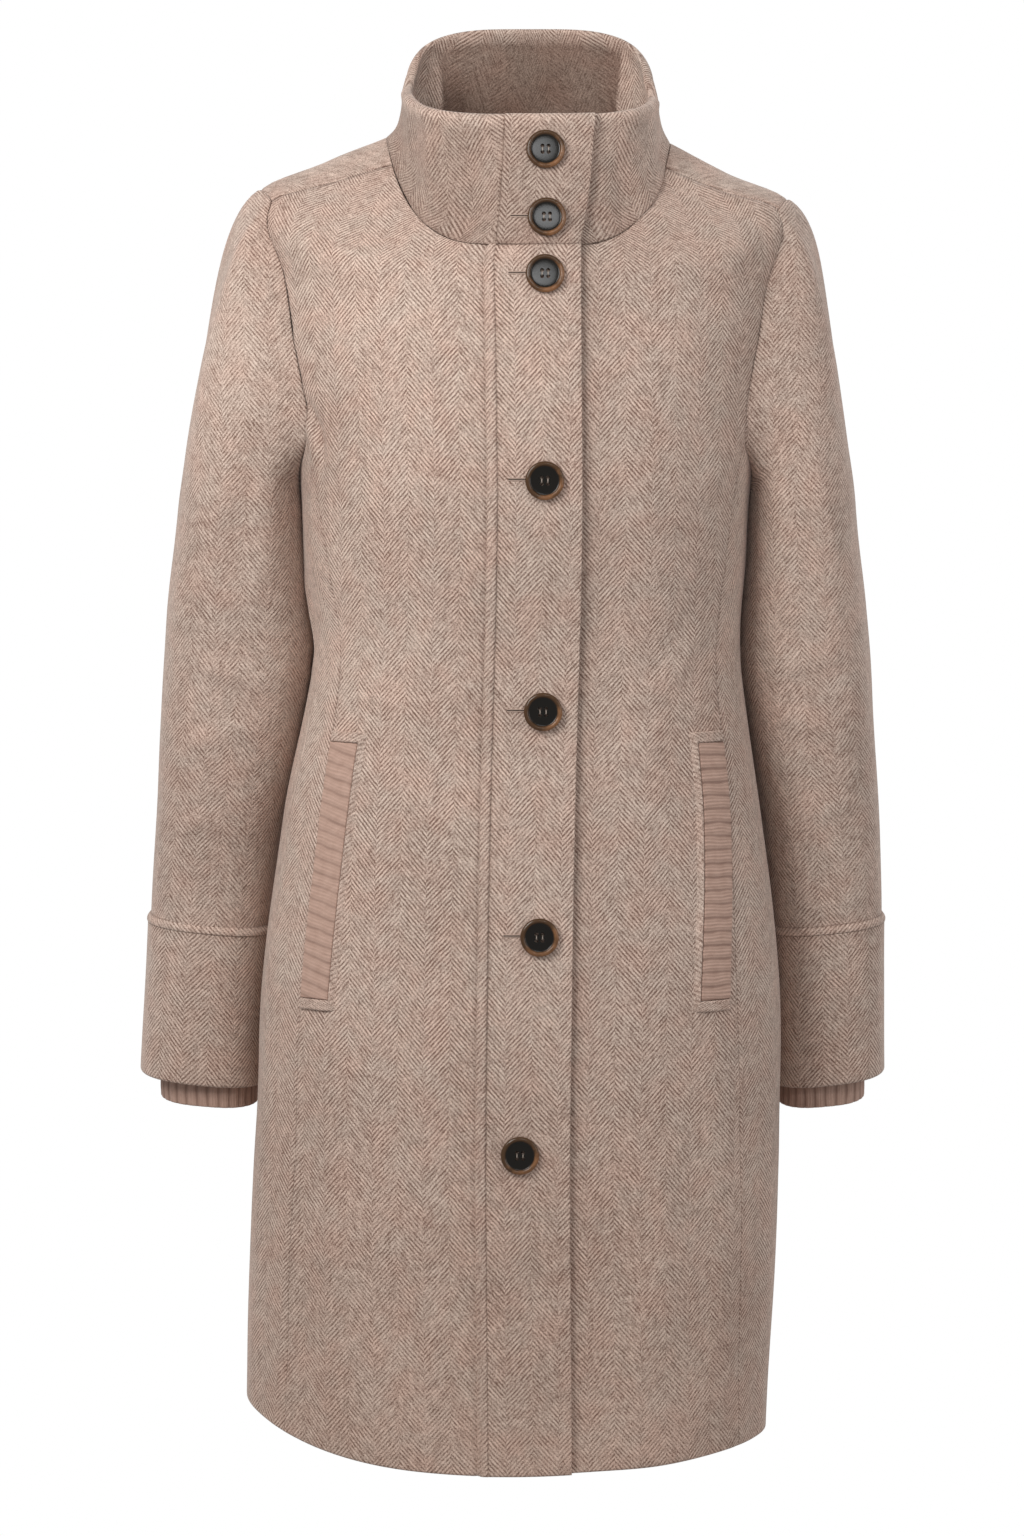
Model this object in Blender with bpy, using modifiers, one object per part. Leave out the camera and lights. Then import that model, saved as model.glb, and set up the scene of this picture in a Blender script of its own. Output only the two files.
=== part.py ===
"""Winter coat: a knee-length stand-collar coat in herringbone wool, filled out as if worn and open inside.

Metres, +Z up. The coat faces -Y, so its wearer's right is at -X. The origin is between the shoulders, level
with the side of the neck, where a wearer carries it. Every body panel is a piece of one body surface, every
sleeve piece a piece of one sleeve surface, and what lies on a panel is made from its points, moved out.
"""

import math

import bmesh
import bpy
import numpy as np
from mathutils import Matrix, Vector

# Cloth and seams
CLOTH = 0.0024
FACED_CLOTH = 0.0044
RIB_KNIT = 0.0022
SEAM_GAP = 0.0003
SEAM_TRIM = 0.0003
SHOULDER_TRIM = 0.0010
ARMHOLE_GAP = 0.0006

# The body surface: a row for each ring, from the hem to the neck seam. Right and left are the wearer's.
RING_COLUMNS = ("right_z", "left_z", "front_z", "back_z", "half_width", "front_depth", "back_depth",
                "squareness", "centre_x", "side_y", "level_ends")
BODY_RINGS = (
    (-0.942, -0.969, -0.976, -0.972, 0.1980, 0.1450, 0.1480, 2.30, -0.0050, -0.015, 0),
    (-0.826, -0.834, -0.834, -0.834, 0.1990, 0.1400, 0.1460, 2.30, 0.0000, -0.020, 0),
    (-0.734, -0.737, -0.736, -0.736, 0.1985, 0.1365, 0.1420, 2.30, 0.0045, -0.020, 0),
    (-0.626, -0.626, -0.626, -0.626, 0.1960, 0.1320, 0.1360, 2.30, 0.0065, -0.020, 0),
    (-0.500, -0.500, -0.500, -0.500, 0.1800, 0.1220, 0.1180, 2.30, 0.0080, -0.016, 0),
    (-0.385, -0.385, -0.385, -0.385, 0.1615, 0.1150, 0.1000, 2.30, 0.0110, -0.008, 0),
    (-0.305, -0.305, -0.308, -0.303, 0.1665, 0.1240, 0.1040, 2.35, 0.0100, -0.002, 0),
    (-0.245, -0.245, -0.250, -0.242, 0.1700, 0.1280, 0.1100, 2.40, 0.0100, 0.000, 1),
    (-0.150, -0.150, -0.162, -0.145, 0.1840, 0.1200, 0.1130, 2.30, 0.0100, 0.000, 1),
    (-0.087, -0.090, -0.118, -0.080, 0.1910, 0.1120, 0.1080, 2.10, 0.0100, 0.000, 1),
    (-0.035, -0.042, -0.097, -0.033, 0.1975, 0.1085, 0.0980, 2.00, 0.0090, 0.000, 1),
    (-0.0125, -0.021, -0.087, -0.009, 0.1500, 0.1065, 0.0860, 2.00, 0.0115, 0.000, 1),
    (0.005, 0.002, -0.078, 0.018, 0.1060, 0.1050, 0.0740, 2.15, 0.0125, 0.000, 1),
)
SHOULDER_ROW, NECK_ROW = 10, 12
BODY_ROWS = (0, 0.5, 1, 2, 3, 3.5, 4, 4.5, 5, 5.5, 6, 6.5, 7, 7.35, 7.7, 8, 8.5, 9, 9.4, 9.7, 9.9, 10,
             10.2, 10.6, 11, 11.5, 12)

# Soft upright folds of the skirt: angle, spread, height and the row above which each is gone.
SKIRT_FOLDS = (
    (-74, 9, 0.0020, 4.2),
    (-30, 11, 0.0020, 3.4),
    (34, 10, 0.0030, 3.6),
    (78, 9, 0.0020, 4.4),
    (141, 9, 0.0040, 4.0),
    (166, 8, 0.0040, 4.6),
    (196, 10, 0.0045, 4.2),
    (221, 8, 0.0040, 4.6),
)

# The armhole seam at even turns from its top, over the front, the underarm and the back: row and angle.
ARMHOLE_SEAM = (
    (10.00, 76),
    (9.50, 71),
    (8.30, 64.5),
    (7.35, 63),
    (7.00, 90),
    (7.35, 109),
    (8.30, 116),
    (9.55, 107),
)
FRONT_SEAM_TURN, BACK_SEAM_TURN = 135.0, 225.0
SEAM_TOP_ROW = 7.35

# Panel seams, as ring angles from the centre front: the long seams at even steps from the hem to the
# armhole, the shoulder seam from the armhole to the neck.
FRONT_SEAM = {
    "right": (53.0, 53.0, 53.0, 52.8, 53.5, 55.5, 57.5, 63.0),
    "left": (58.0, 55.0, 52.5, 51.5, 55.5, 57.0, 58.5, 63.0),
}
BACK_SEAM = (124.0, 124.0, 124.0, 124.0, 124.0, 124.0, 121.0, 109.0)
SHOULDER_SEAM = (76.0, 72.5, 71.0)
SHOULDER_TRIM_ROW = 9.4

# The placket on the right front, by some heights and its edge's place across there, and the left front
# under it.
PLACKET_EDGE = ((-0.976, 0.0440), (-0.735, 0.0420), (-0.500, 0.0455), (-0.300, 0.0510), (-0.078, 0.0495))
PLACKET_WIDTH = 0.0615
PLACKET_PROUD = 0.0020
UNDERLAP = 0.0420
LEFT_FRONT_SINK = 0.0034
LEFT_FRONT_RISE = 0.0700

# The collar stands on the neck seam: a row for each ring, from the seam to the top edge.
COLLAR_RINGS = (
    BODY_RINGS[NECK_ROW],
    (0.013, 0.011, -0.058, 0.034, 0.1000, 0.1015, 0.0735, 2.20, 0.0135, 0.000, 1),
    (0.024, 0.020, -0.030, 0.058, 0.0970, 0.0965, 0.0710, 2.40, 0.0140, 0.000, 1),
    (0.043, 0.036, 0.017, 0.092, 0.0945, 0.0890, 0.0670, 2.80, 0.0140, 0.000, 1),
)
COLLAR_ROWS = (0.06, 0.4, 0.8, 1.3, 1.8, 2.4, 3.0)
TAB_SEAM_X = (-0.0110, -0.0050)
TAB_EDGE_X = (0.0490, 0.0600)
TAB_PROUD = 0.0025
COLLAR_SINK = 0.0032
COLLAR_LEFT_END = 2.0
COLLAR_RISE_ANGLE = 22.0

# Buttons, by their places up and across on the placket and on the collar tab. Their profile is in shares of
# the radius and of the thickness.
COLLAR_BUTTONS = ((-0.0103, 0.0240), (-0.0590, 0.0247))
PLACKET_BUTTONS = ((-0.0995, 0.0236), (-0.2470, 0.0234), (-0.4145, 0.0224), (-0.5780, 0.0199),
                   (-0.7370, 0.0058))
BUTTON_DIAMETER = 0.0280
BUTTON_THICKNESS = 0.0042
BUTTON_PROFILE = ((0, 0.69), (0.55, 0.69), (0.72, 1), (0.88, 1), (1, 0.6), (0.9, 0.12), (0.7, 0), (0, 0))
BUTTON_SMOOTH_ANGLE = 40.0
BUTTON_SEAT_GAP = 0.0007
BUTTON_HOLE_DIAMETER = 0.0024
BUTTON_HOLE_SPACING = 0.0042

# A sleeve's sections from the biceps to the rib cuff's hem, each with its reach from the coat's middle.
SLEEVE_COLUMNS = ("z", "right_inner", "right_outer", "left_inner", "left_outer", "y", "half_fore", "rise")
SLEEVE_SECTIONS = (
    (-0.264, 0.1625, 0.2505, 0.1815, 0.2585, 0.014, 0.0720, 0.000),
    (-0.325, 0.1580, 0.2590, 0.1780, 0.2660, 0.020, 0.0680, 0.000),
    (-0.385, 0.1535, 0.2655, 0.1745, 0.2725, 0.027, 0.0640, 0.001),
    (-0.445, 0.1625, 0.2695, 0.1820, 0.2775, 0.034, 0.0610, 0.002),
    (-0.507, 0.1735, 0.2735, 0.1900, 0.2820, 0.041, 0.0585, 0.003),
    (-0.568, 0.1820, 0.2785, 0.1965, 0.2860, 0.048, 0.0565, 0.004),
    (-0.630, 0.1900, 0.2820, 0.2020, 0.2865, 0.052, 0.0555, 0.005),
    (-0.712, 0.1935, 0.2870, 0.2025, 0.2880, 0.055, 0.0555, 0.005),
    (-0.730, 0.1935, 0.2870, 0.2025, 0.2880, 0.055, 0.0555, 0.003),
)
SLEEVE_SQUARENESS = 2.2
SIDES = {"right": -1, "left": 1}

# How the sleeve's cap leaves the armhole and runs into the biceps: the share of each direction at the cap's
# middle, what its top adds, and the length of the pulls at the underarm and at the top.
CAP_OUT, CAP_OUT_AT_TOP = 0.75, 0.17
CAP_DOWN, CAP_DOWN_AT_TOP = 0.45, -0.06
CAP_FORWARD = 0.20
BICEPS_FLARE = 0.14
UNDERARM_PULL = 0.006
CAP_FIRST_PULL, CAP_LAST_PULL = 0.040, 0.120

# Sleeve rows run 0 to 1 over the cap, then one for each section. The rib cuff has a row and its inset there.
SLEEVE_ROWS = (0.0, 0.12, 0.25, 0.4, 0.6, 0.8, 1, 1.5, 2, 3, 4, 5, 6)
CUFF_SEAM_ROW, CUFF_HEM_ROW = 6.42, 8.0
CUFF_STEPS = 3
CUFF_PROUD = 0.0020
CUFF_WELT_ROWS = (6.32, 6.375, 6.43)
CUFF_WELT_THICKNESS = 0.0022
RIB_CUFF_PROFILE = ((7.30, 0.0027), (7.55, 0.0090), (7.80, 0.0125), (8.0, 0.0135), (9.0, 0.0135))

# The pockets: a knitted strip beside each front seam, and the cloth welt round its front edge and ends.
# A strip's shift is how much further from the seam it lies at its bottom, middle and top.
POCKET_TOP_Z, POCKET_BOTTOM_Z = -0.440, -0.628
POCKET_SEAM_MARGIN = 0.0010
POCKET_RIB_WIDTH = 0.0235
POCKET_RIB_STEPS, POCKET_RIB_SPANS = 10, 3
POCKET_ANGLE = 48.0
POCKET_SHIFT = {"right": (0.0, 0.0, 0.0), "left": (0.0065, 0.0005, 0.0)}
POCKET_WELT_WIDTH = 0.0050
POCKET_BAR_HEIGHT = 0.0090

# Mesh densities, as columns across each panel, and the steps of two searches
FRONT_SPANS, LEFT_FRONT_SPANS, SIDE_SPANS, BACK_SPANS, PLACKET_SPANS = 8, 10, 7, 15, 4
SLEEVE_SPANS, COLLAR_SPANS, TAB_SPANS = 18, 32, 4
BUTTON_STEPS, BUTTON_HOLE_STEPS = 24, 8
CROSSING_STEPS, BUTTON_SEAT_STEPS = 40, 6

# Finishes: linear red, green and blue, and roughness
WOOL = ((0.47, 0.36, 0.29), 0.95)
KNIT = ((0.38, 0.25, 0.20), 0.95)
HORN = ((0.06, 0.03, 0.02), 0.25)


def between_rows(table, row):
    """Table values at fractional row numbers, on a smooth curve through the table's rows."""
    table = np.asarray(table, float)
    row = np.clip(np.asarray(row, float), 0, len(table) - 1)
    first = np.minimum(row.astype(int), len(table) - 2)
    padded = np.concatenate([[2 * table[0] - table[1]], table, [2 * table[-1] - table[-2]]])
    p0, p1, p2, p3 = (padded[first + step] for step in range(4))
    t = (row - first).reshape(row.shape + (1,) * (table.ndim - 1))
    return p1 + 0.5 * t * (p2 - p0 + t * (2 * p0 - 5 * p1 + 4 * p2 - p3 + t * (3 * (p1 - p2) + p3 - p0)))


def superellipse(turn, power):
    """Sine and cosine pushed out from a circle to a superellipse of that power."""
    sine, cosine = np.sin(turn), np.cos(turn)
    stretch = (np.abs(sine) ** power + np.abs(cosine) ** power) ** (-1 / power)
    return sine * stretch, cosine * stretch


def ring_points(rings, row, angle):
    """Points on rings: the angle is in degrees from the centre front, positive to the wearer's left."""
    ring = dict(zip(RING_COLUMNS, np.moveaxis(between_rows(rings, row), -1, 0)))
    turn = np.radians(angle)
    across, ahead = superellipse(turn, ring["squareness"])
    depth = np.where(ahead > 0, ring["front_depth"], ring["back_depth"])
    side_z = (ring["right_z"] + ring["left_z"]) / 2 + (ring["left_z"] - ring["right_z"]) / 2 * np.sin(turn)
    end_z = np.where(ahead > 0, ring["front_z"], ring["back_z"])
    share = np.abs(np.cos(turn))
    z = side_z + (end_z - side_z) * share * share * (1 + 2 * (1 - share) * ring["level_ends"])
    y = ring["side_y"] - (depth + np.where(ahead > 0, 1, -1) * ring["side_y"]) * ahead
    return np.stack([ring["centre_x"] + ring["half_width"] * across, y, z], axis=-1)


def no_folds(row, angle):
    return np.zeros(row.shape)


def skirt_folds(row, angle):
    """How far the skirt's soft folds stand out."""
    out = np.zeros(row.shape)
    for fold_angle, spread, height, top_row in SKIRT_FOLDS:
        away = (angle - fold_angle + 180) % 360 - 180
        fade = np.clip(1 - row / top_row, 0, 1) ** 1.5
        out = out + height * np.exp(-((away / spread) ** 2)) * fade
    return out


class Surface:
    """A surface with rows along it and angles in degrees round it. Facing is -1 if those would turn it in."""

    row_step, angle_step = 0.02, 0.5

    def __init__(self, bare, facing=1, folds=no_folds):
        self.bare, self.facing, self.folds = bare, facing, folds

    def normal(self, row, angle):
        up = self.bare(row + self.row_step, angle) - self.bare(row - self.row_step, angle)
        along = self.bare(row, angle + self.angle_step) - self.bare(row, angle - self.angle_step)
        normal = self.facing * np.cross(along, up)
        return normal / np.linalg.norm(normal, axis=-1, keepdims=True)

    def at(self, row, angle, out=0.0):
        """Points of the surface, moved out by that distance."""
        row, angle, out = np.broadcast_arrays(*(np.asarray(value, float) for value in (row, angle, out)))
        reach = out + self.folds(row, angle)
        return self.bare(row, angle) + self.normal(row, angle) * reach[..., None]

    def angle_past(self, row, angle, distance):
        """The angle that far round a row from an angle."""
        metres_a_degree = np.linalg.norm(self.bare(row, angle + 1.0) - self.bare(row, angle - 1.0)) / 2
        return angle + distance / metres_a_degree

    def row_past(self, row, angle, distance):
        """The row that far along an angle from a row."""
        low, high = row - self.row_step, row + self.row_step
        metres_a_row = np.linalg.norm(self.bare(high, angle) - self.bare(low, angle)) / (high - low)
        return row + distance / metres_a_row

    def front_angle(self, row, x):
        """The angle on the front where a row passes a place across."""
        return crossing(lambda angle: self.bare(row, angle)[0] - x, -60.0, 60.0)

    def row_at_height(self, angle, z, last_row):
        return crossing(lambda row: self.bare(row, angle)[2] - z, 0.0, float(last_row))


def crossing(value_at, low, high):
    """The place between low and high where a function changes sign."""
    starts_below = value_at(np.float64(low)) < 0
    for _ in range(CROSSING_STEPS):
        middle = np.float64((low + high) / 2)
        if (value_at(middle) < 0) == starts_below:
            low = middle
        else:
            high = middle
    return middle


def armhole(turn):
    """Row and angle of the armhole seam, at a turn in degrees from its top, over the front."""
    looped = ARMHOLE_SEAM[-2:] + ARMHOLE_SEAM + ARMHOLE_SEAM[:3]
    place = between_rows(looped, np.asarray(turn, float) % 360 / 360 * len(ARMHOLE_SEAM) + 2)
    return place[..., 0], place[..., 1]


def sleeve_points(side, row, turn):
    """Points on a sleeve: the turn is in degrees from its outer side, over the front."""
    row, turn = np.broadcast_arrays(np.asarray(row, float), np.asarray(turn, float))
    facing = SIDES[side]
    round_front, outwards = superellipse(np.radians(turn), SLEEVE_SQUARENESS)
    section_row = np.clip(row - 1, 0, len(SLEEVE_SECTIONS) - 1)
    section = dict(zip(SLEEVE_COLUMNS, np.moveaxis(between_rows(SLEEVE_SECTIONS, section_row), -1, 0)))
    inner, outer = section[f"{side}_inner"], section[f"{side}_outer"]
    lower = np.stack([
        facing * ((inner + outer) / 2 + (outer - inner) / 2 * outwards),
        section["y"] - section["half_fore"] * round_front,
        section["z"] + section["rise"] * outwards,
    ], axis=-1)

    seam_row, seam_angle = armhole(turn)
    start = ring_points(BODY_RINGS, seam_row, facing * seam_angle)
    upper, ahead = np.cos(np.radians(turn)), np.sin(np.radians(turn))
    out, down = CAP_OUT + CAP_OUT_AT_TOP * upper, CAP_DOWN + CAP_DOWN_AT_TOP * upper
    leaving = np.stack([facing * out, -CAP_FORWARD * ahead, -down], axis=-1)
    arriving = np.stack([facing * BICEPS_FLARE * upper, 0 * upper, -1 + 0 * upper], axis=-1)
    share = ((1 + upper) / 2)[..., None]
    start = start + leaving * ARMHOLE_GAP
    first_pull = start + leaving * (UNDERARM_PULL + (CAP_FIRST_PULL - UNDERARM_PULL) * share)
    last_pull = lower - arriving * (UNDERARM_PULL + (CAP_LAST_PULL - UNDERARM_PULL) * share)
    t = np.clip(row, 0, 1)[..., None]
    near = (1 - t) ** 2 * ((1 - t) * start + 3 * t * first_pull)
    cap = near + t ** 2 * (3 * (1 - t) * last_pull + t * lower)
    return np.where((row < 1)[..., None], cap, lower)


BODY = Surface(lambda row, angle: ring_points(BODY_RINGS, row, angle), folds=skirt_folds)
COLLAR = Surface(lambda row, angle: ring_points(COLLAR_RINGS, row, angle))
SLEEVES = {
    side: Surface(lambda row, turn, side=side: sleeve_points(side, row, turn), facing=facing)
    for side, facing in SIDES.items()
}


def long_seam_angle(seam, row):
    return float(between_rows(seam, row / SEAM_TOP_ROW * (len(seam) - 1)))


def panel_side_angle(row, seam):
    """The angle of a front or back panel's side: its long seam, then the armhole, then the shoulder seam."""
    if row <= SEAM_TOP_ROW:
        return long_seam_angle(seam, row)
    if row < SHOULDER_ROW:
        first, last = (180.0, 360.0) if seam is BACK_SEAM else (0.0, 180.0)
        turn = crossing(lambda turn: armhole(turn)[0] - row, first, last - 0.001)
        return float(armhole(turn)[1])
    return float(between_rows(SHOULDER_SEAM, row - SHOULDER_ROW))


def side_trim(row):
    """How far a front or back panel is cut back at its side."""
    return SHOULDER_TRIM if row > SHOULDER_TRIM_ROW else SEAM_TRIM


def placket_angles(row):
    """The angles of the placket's seam and of its edge."""
    heights, places = zip(*PLACKET_EDGE)
    edge = BODY.front_angle(row, np.interp(BODY.bare(np.float64(row), 15.0)[2], heights, places))
    return BODY.angle_past(row, edge, -PLACKET_WIDTH), edge


def tab_angles(row):
    """The angles of the collar tab's seam and of its edge."""
    rise = row / (len(COLLAR_RINGS) - 1)
    return [COLLAR.front_angle(row, low + (high - low) * rise) for low, high in (TAB_SEAM_X, TAB_EDGE_X)]


def strip(surface, rows, angles_at, spans, out=0.0, trim=(0.0, 0.0)):
    """A grid of points between two angles at each row, trimmed by a distance at each side."""
    grid = []
    for row in rows:
        first, last = angles_at(row)
        first_trim, last_trim = (size(row) if callable(size) else size for size in trim)
        first = surface.angle_past(row, first, first_trim)
        last = surface.angle_past(row, last, -last_trim)
        angles = np.linspace(first, last, spans + 1)
        reach = out(row, angles) if callable(out) else out
        grid.append(surface.at(row, angles, reach))
    return np.array(grid)


def cloth(name, grid, thickness, finish, facing=1, tube=False):
    """An open surface through a grid of points, thickened inwards into one node."""
    rows, columns = grid.shape[:2]
    faces = []
    for r in range(rows - 1):
        for c in range(columns if tube else columns - 1):
            beside = (c + 1) % columns
            quad = [r * columns + c, r * columns + beside, (r + 1) * columns + beside, (r + 1) * columns + c]
            faces.append(quad if facing > 0 else quad[::-1])
    mesh = bpy.data.meshes.new(name)
    mesh.from_pydata(grid.reshape(-1, 3).tolist(), [], faces)
    mesh.shade_smooth()
    node = add_node(name, mesh, finish)
    solidify = node.modifiers.new("wall", "SOLIDIFY")
    solidify.thickness = thickness
    solidify.offset = -1
    return node


def add_node(name, mesh, finish):
    node = bpy.data.objects.new(name, mesh)
    parts.objects.link(node)
    node.parent = coat_origin
    mesh.materials.append(material(name, *finish))
    return node


def material(name, colour, roughness):
    made = bpy.data.materials.new(name)
    made.use_nodes = True
    shader = made.node_tree.nodes["Principled BSDF"]
    shader.inputs["Base Color"].default_value = (*colour, 1)
    shader.inputs["Roughness"].default_value = roughness
    shader.inputs["Metallic"].default_value = 0
    return made


def clear_scene():
    for obj in list(bpy.data.objects):
        bpy.data.objects.remove(obj)


def new_collection(name):
    made = bpy.data.collections.new(name)
    bpy.context.scene.collection.children.link(made)
    return made


def make_fronts():
    def right_angles(row):
        return -panel_side_angle(row, FRONT_SEAM["right"]), placket_angles(row)[0]

    right = strip(BODY, BODY_ROWS, right_angles, FRONT_SPANS, trim=(side_trim, SEAM_TRIM))
    cloth("front_right", right, CLOTH, WOOL)
    placket = strip(BODY, BODY_ROWS, placket_angles, PLACKET_SPANS, out=PLACKET_PROUD, trim=(SEAM_TRIM, 0))
    cloth("placket", placket, FACED_CLOTH, WOOL)

    def sunk(row, angles):
        edge = placket_angles(row)[1]
        past_edge = (angles - edge) * (LEFT_FRONT_RISE / (BODY.angle_past(row, edge, LEFT_FRONT_RISE) - edge))
        rise = np.clip(past_edge / LEFT_FRONT_RISE, 0, 1)
        return -LEFT_FRONT_SINK * (1 - rise * rise * (3 - 2 * rise))

    def left_angles(row):
        under = BODY.angle_past(row, placket_angles(row)[1], -UNDERLAP)
        return under, panel_side_angle(row, FRONT_SEAM["left"])

    left = strip(BODY, BODY_ROWS, left_angles, LEFT_FRONT_SPANS, out=sunk, trim=(0, side_trim))
    cloth("front_left", left, CLOTH, WOOL)


def make_sides():
    """The side panels, whose tops follow the underarm stretch of the armhole seam."""
    across = np.linspace(0, 1, SIDE_SPANS + 1)
    top_row, top_angle = armhole(FRONT_SEAM_TURN + (BACK_SEAM_TURN - FRONT_SEAM_TURN) * across)
    for side, facing in SIDES.items():
        front_seam = FRONT_SEAM[side]
        straight_top = front_seam[-1] + (BACK_SEAM[-1] - front_seam[-1]) * across
        grid = []
        for row in BODY_ROWS[:BODY_ROWS.index(SEAM_TOP_ROW) + 1]:
            up = row / SEAM_TOP_ROW
            first, last = long_seam_angle(front_seam, row), long_seam_angle(BACK_SEAM, row)
            first, last = BODY.angle_past(row, first, SEAM_TRIM), BODY.angle_past(row, last, -SEAM_TRIM)
            angles = first + (last - first) * across + up ** 2 * (top_angle - straight_top)
            grid.append(BODY.at(up * top_row, facing * angles))
        cloth(f"side_{side}", np.array(grid), CLOTH, WOOL, facing=facing)


def make_back():
    def back_angles(row):
        side = panel_side_angle(row, BACK_SEAM)
        return side, 360 - side

    cloth("back", strip(BODY, BODY_ROWS, back_angles, BACK_SPANS, trim=(side_trim, side_trim)), CLOTH, WOOL)


def make_collar():
    """The collar from the tab's seam round the back to its left end, which lies under the tab."""
    def collar_angles(row):
        return COLLAR_LEFT_END, 360 + tab_angles(row)[0]

    def sunk(row, angles):
        rise = np.clip((angles - tab_angles(row)[1]) / COLLAR_RISE_ANGLE, 0, 1)
        return -COLLAR_SINK * (1 - rise * rise * (3 - 2 * rise))

    band = strip(COLLAR, COLLAR_ROWS, collar_angles, COLLAR_SPANS, out=sunk, trim=(0, SEAM_TRIM))
    cloth("collar", band, FACED_CLOTH, WOOL)
    tab = strip(COLLAR, COLLAR_ROWS, tab_angles, TAB_SPANS, out=TAB_PROUD, trim=(SEAM_TRIM, 0))
    cloth("collar_tab", tab, FACED_CLOTH, WOOL)


def sleeve_tube(side, rows, outs):
    turns = np.linspace(0, 360, SLEEVE_SPANS, endpoint=False)
    return np.array([SLEEVES[side].at(row, turns, out) for row, out in zip(rows, outs)])


def make_sleeve(side):
    """A sleeve with its cuff, the welt round the cuff's seam, and the knitted inner cuff."""
    facing = SIDES[side]
    sleeve_end = SLEEVES[side].row_past(CUFF_SEAM_ROW, 90.0, -SEAM_GAP)
    rows = SLEEVE_ROWS + (sleeve_end,)
    cloth(f"sleeve_{side}", sleeve_tube(side, rows, np.zeros(len(rows))), CLOTH, WOOL, facing, tube=True)

    rows = np.linspace(CUFF_SEAM_ROW, CUFF_HEM_ROW, CUFF_STEPS + 1)
    cuff = sleeve_tube(side, rows, np.full(len(rows), CUFF_PROUD))
    cloth(f"cuff_{side}", cuff, FACED_CLOTH, WOOL, facing, tube=True)

    welt_out = CUFF_PROUD + SEAM_GAP + CUFF_WELT_THICKNESS
    welt = sleeve_tube(side, CUFF_WELT_ROWS, np.full(len(CUFF_WELT_ROWS), welt_out))
    cloth(f"cuff_welt_{side}", welt, CUFF_WELT_THICKNESS, WOOL, facing, tube=True)

    rows, insets = np.array(RIB_CUFF_PROFILE).T
    rib_cuff = sleeve_tube(side, rows, -insets)
    cloth(f"rib_cuff_{side}", rib_cuff, RIB_KNIT, KNIT, facing, tube=True)


def make_pocket(side):
    """The knitted strip and the welt of one pocket, both laid on the front panel."""
    facing = SIDES[side]
    top = BODY.row_at_height(facing * POCKET_ANGLE, POCKET_TOP_Z, NECK_ROW)
    bottom = BODY.row_at_height(facing * POCKET_ANGLE, POCKET_BOTTOM_Z, NECK_ROW)

    def angles_at(row, outset):
        """The angle of the strip's side edge, and of a line that far beyond its front edge."""
        seam = facing * long_seam_angle(FRONT_SEAM[side], row)
        shift = float(between_rows(POCKET_SHIFT[side], 2 * (row - bottom) / (top - bottom)))
        margin = POCKET_SEAM_MARGIN + shift
        front = BODY.angle_past(row, seam, -facing * (margin + POCKET_RIB_WIDTH + outset))
        return BODY.angle_past(row, seam, -facing * margin), front

    rows = np.linspace(bottom, top, POCKET_RIB_STEPS + 1)
    rib = strip(BODY, rows, lambda row: angles_at(row, 0), POCKET_RIB_SPANS, out=SEAM_GAP + RIB_KNIT)
    cloth(f"pocket_rib_{side}", rib, RIB_KNIT, KNIT, facing=-facing)

    def border(outset, bar):
        """A line round the strip's top, front and bottom, that far outside it."""
        high = BODY.row_past(top, facing * POCKET_ANGLE, bar)
        low = BODY.row_past(bottom, facing * POCKET_ANGLE, -bar)
        places = [(high, angles_at(high, outset)[0]), (high, sum(angles_at(high, outset)) / 2)]
        places += [(row, angles_at(row, outset)[1]) for row in np.linspace(high, low, POCKET_RIB_STEPS + 1)]
        places += [(low, sum(angles_at(low, outset)) / 2), (low, angles_at(low, outset)[0])]
        return np.array(places)

    lines = [border(SEAM_GAP, SEAM_GAP), border(SEAM_GAP + POCKET_WELT_WIDTH, SEAM_GAP + POCKET_BAR_HEIGHT)]
    welt = np.array([BODY.at(line[:, 0], line[:, 1], SEAM_GAP + CLOTH) for line in lines])
    cloth(f"pocket_welt_{side}", welt, CLOTH, WOOL, facing=facing)


def button_mesh():
    """A turned button with a raised rim, dished inside it, with four holes."""
    outline = bpy.data.meshes.new("button_profile")
    edges = [(i, i + 1) for i in range(len(BUTTON_PROFILE) - 1)]
    points = [(BUTTON_DIAMETER / 2 * out, 0, BUTTON_THICKNESS * up) for out, up in BUTTON_PROFILE]
    outline.from_pydata(points, edges, [])
    turned = bpy.data.objects.new("button_blank", outline)
    cutters.objects.link(turned)
    screw = turned.modifiers.new("turn", "SCREW")
    screw.steps = screw.render_steps = BUTTON_STEPS
    screw.use_merge_vertices = True
    screw.merge_threshold = 0.00001
    holes = bmesh.new()
    hole_radius = BUTTON_HOLE_DIAMETER / 2
    for x in (-BUTTON_HOLE_SPACING / 2, BUTTON_HOLE_SPACING / 2):
        for y in (-BUTTON_HOLE_SPACING / 2, BUTTON_HOLE_SPACING / 2):
            place = Matrix.Translation((x, y, 0))
            bmesh.ops.create_cone(holes, cap_ends=True, segments=BUTTON_HOLE_STEPS, radius1=hole_radius,
                                  radius2=hole_radius, depth=4 * BUTTON_THICKNESS, matrix=place)
    hole_mesh = bpy.data.meshes.new("button_holes")
    holes.to_mesh(hole_mesh)
    holes.free()
    drill = bpy.data.objects.new("button_holes", hole_mesh)
    cutters.objects.link(drill)
    turned.modifiers.new("holes", "BOOLEAN").object = drill
    evaluated = turned.evaluated_get(bpy.context.evaluated_depsgraph_get())
    mesh = bpy.data.meshes.new_from_object(evaluated)
    mesh.set_sharp_from_angle(angle=math.radians(BUTTON_SMOOTH_ANGLE))
    for helper in cutters.objects:
        helper.hide_render = True
        helper.display_type = "WIRE"
    return mesh


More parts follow.
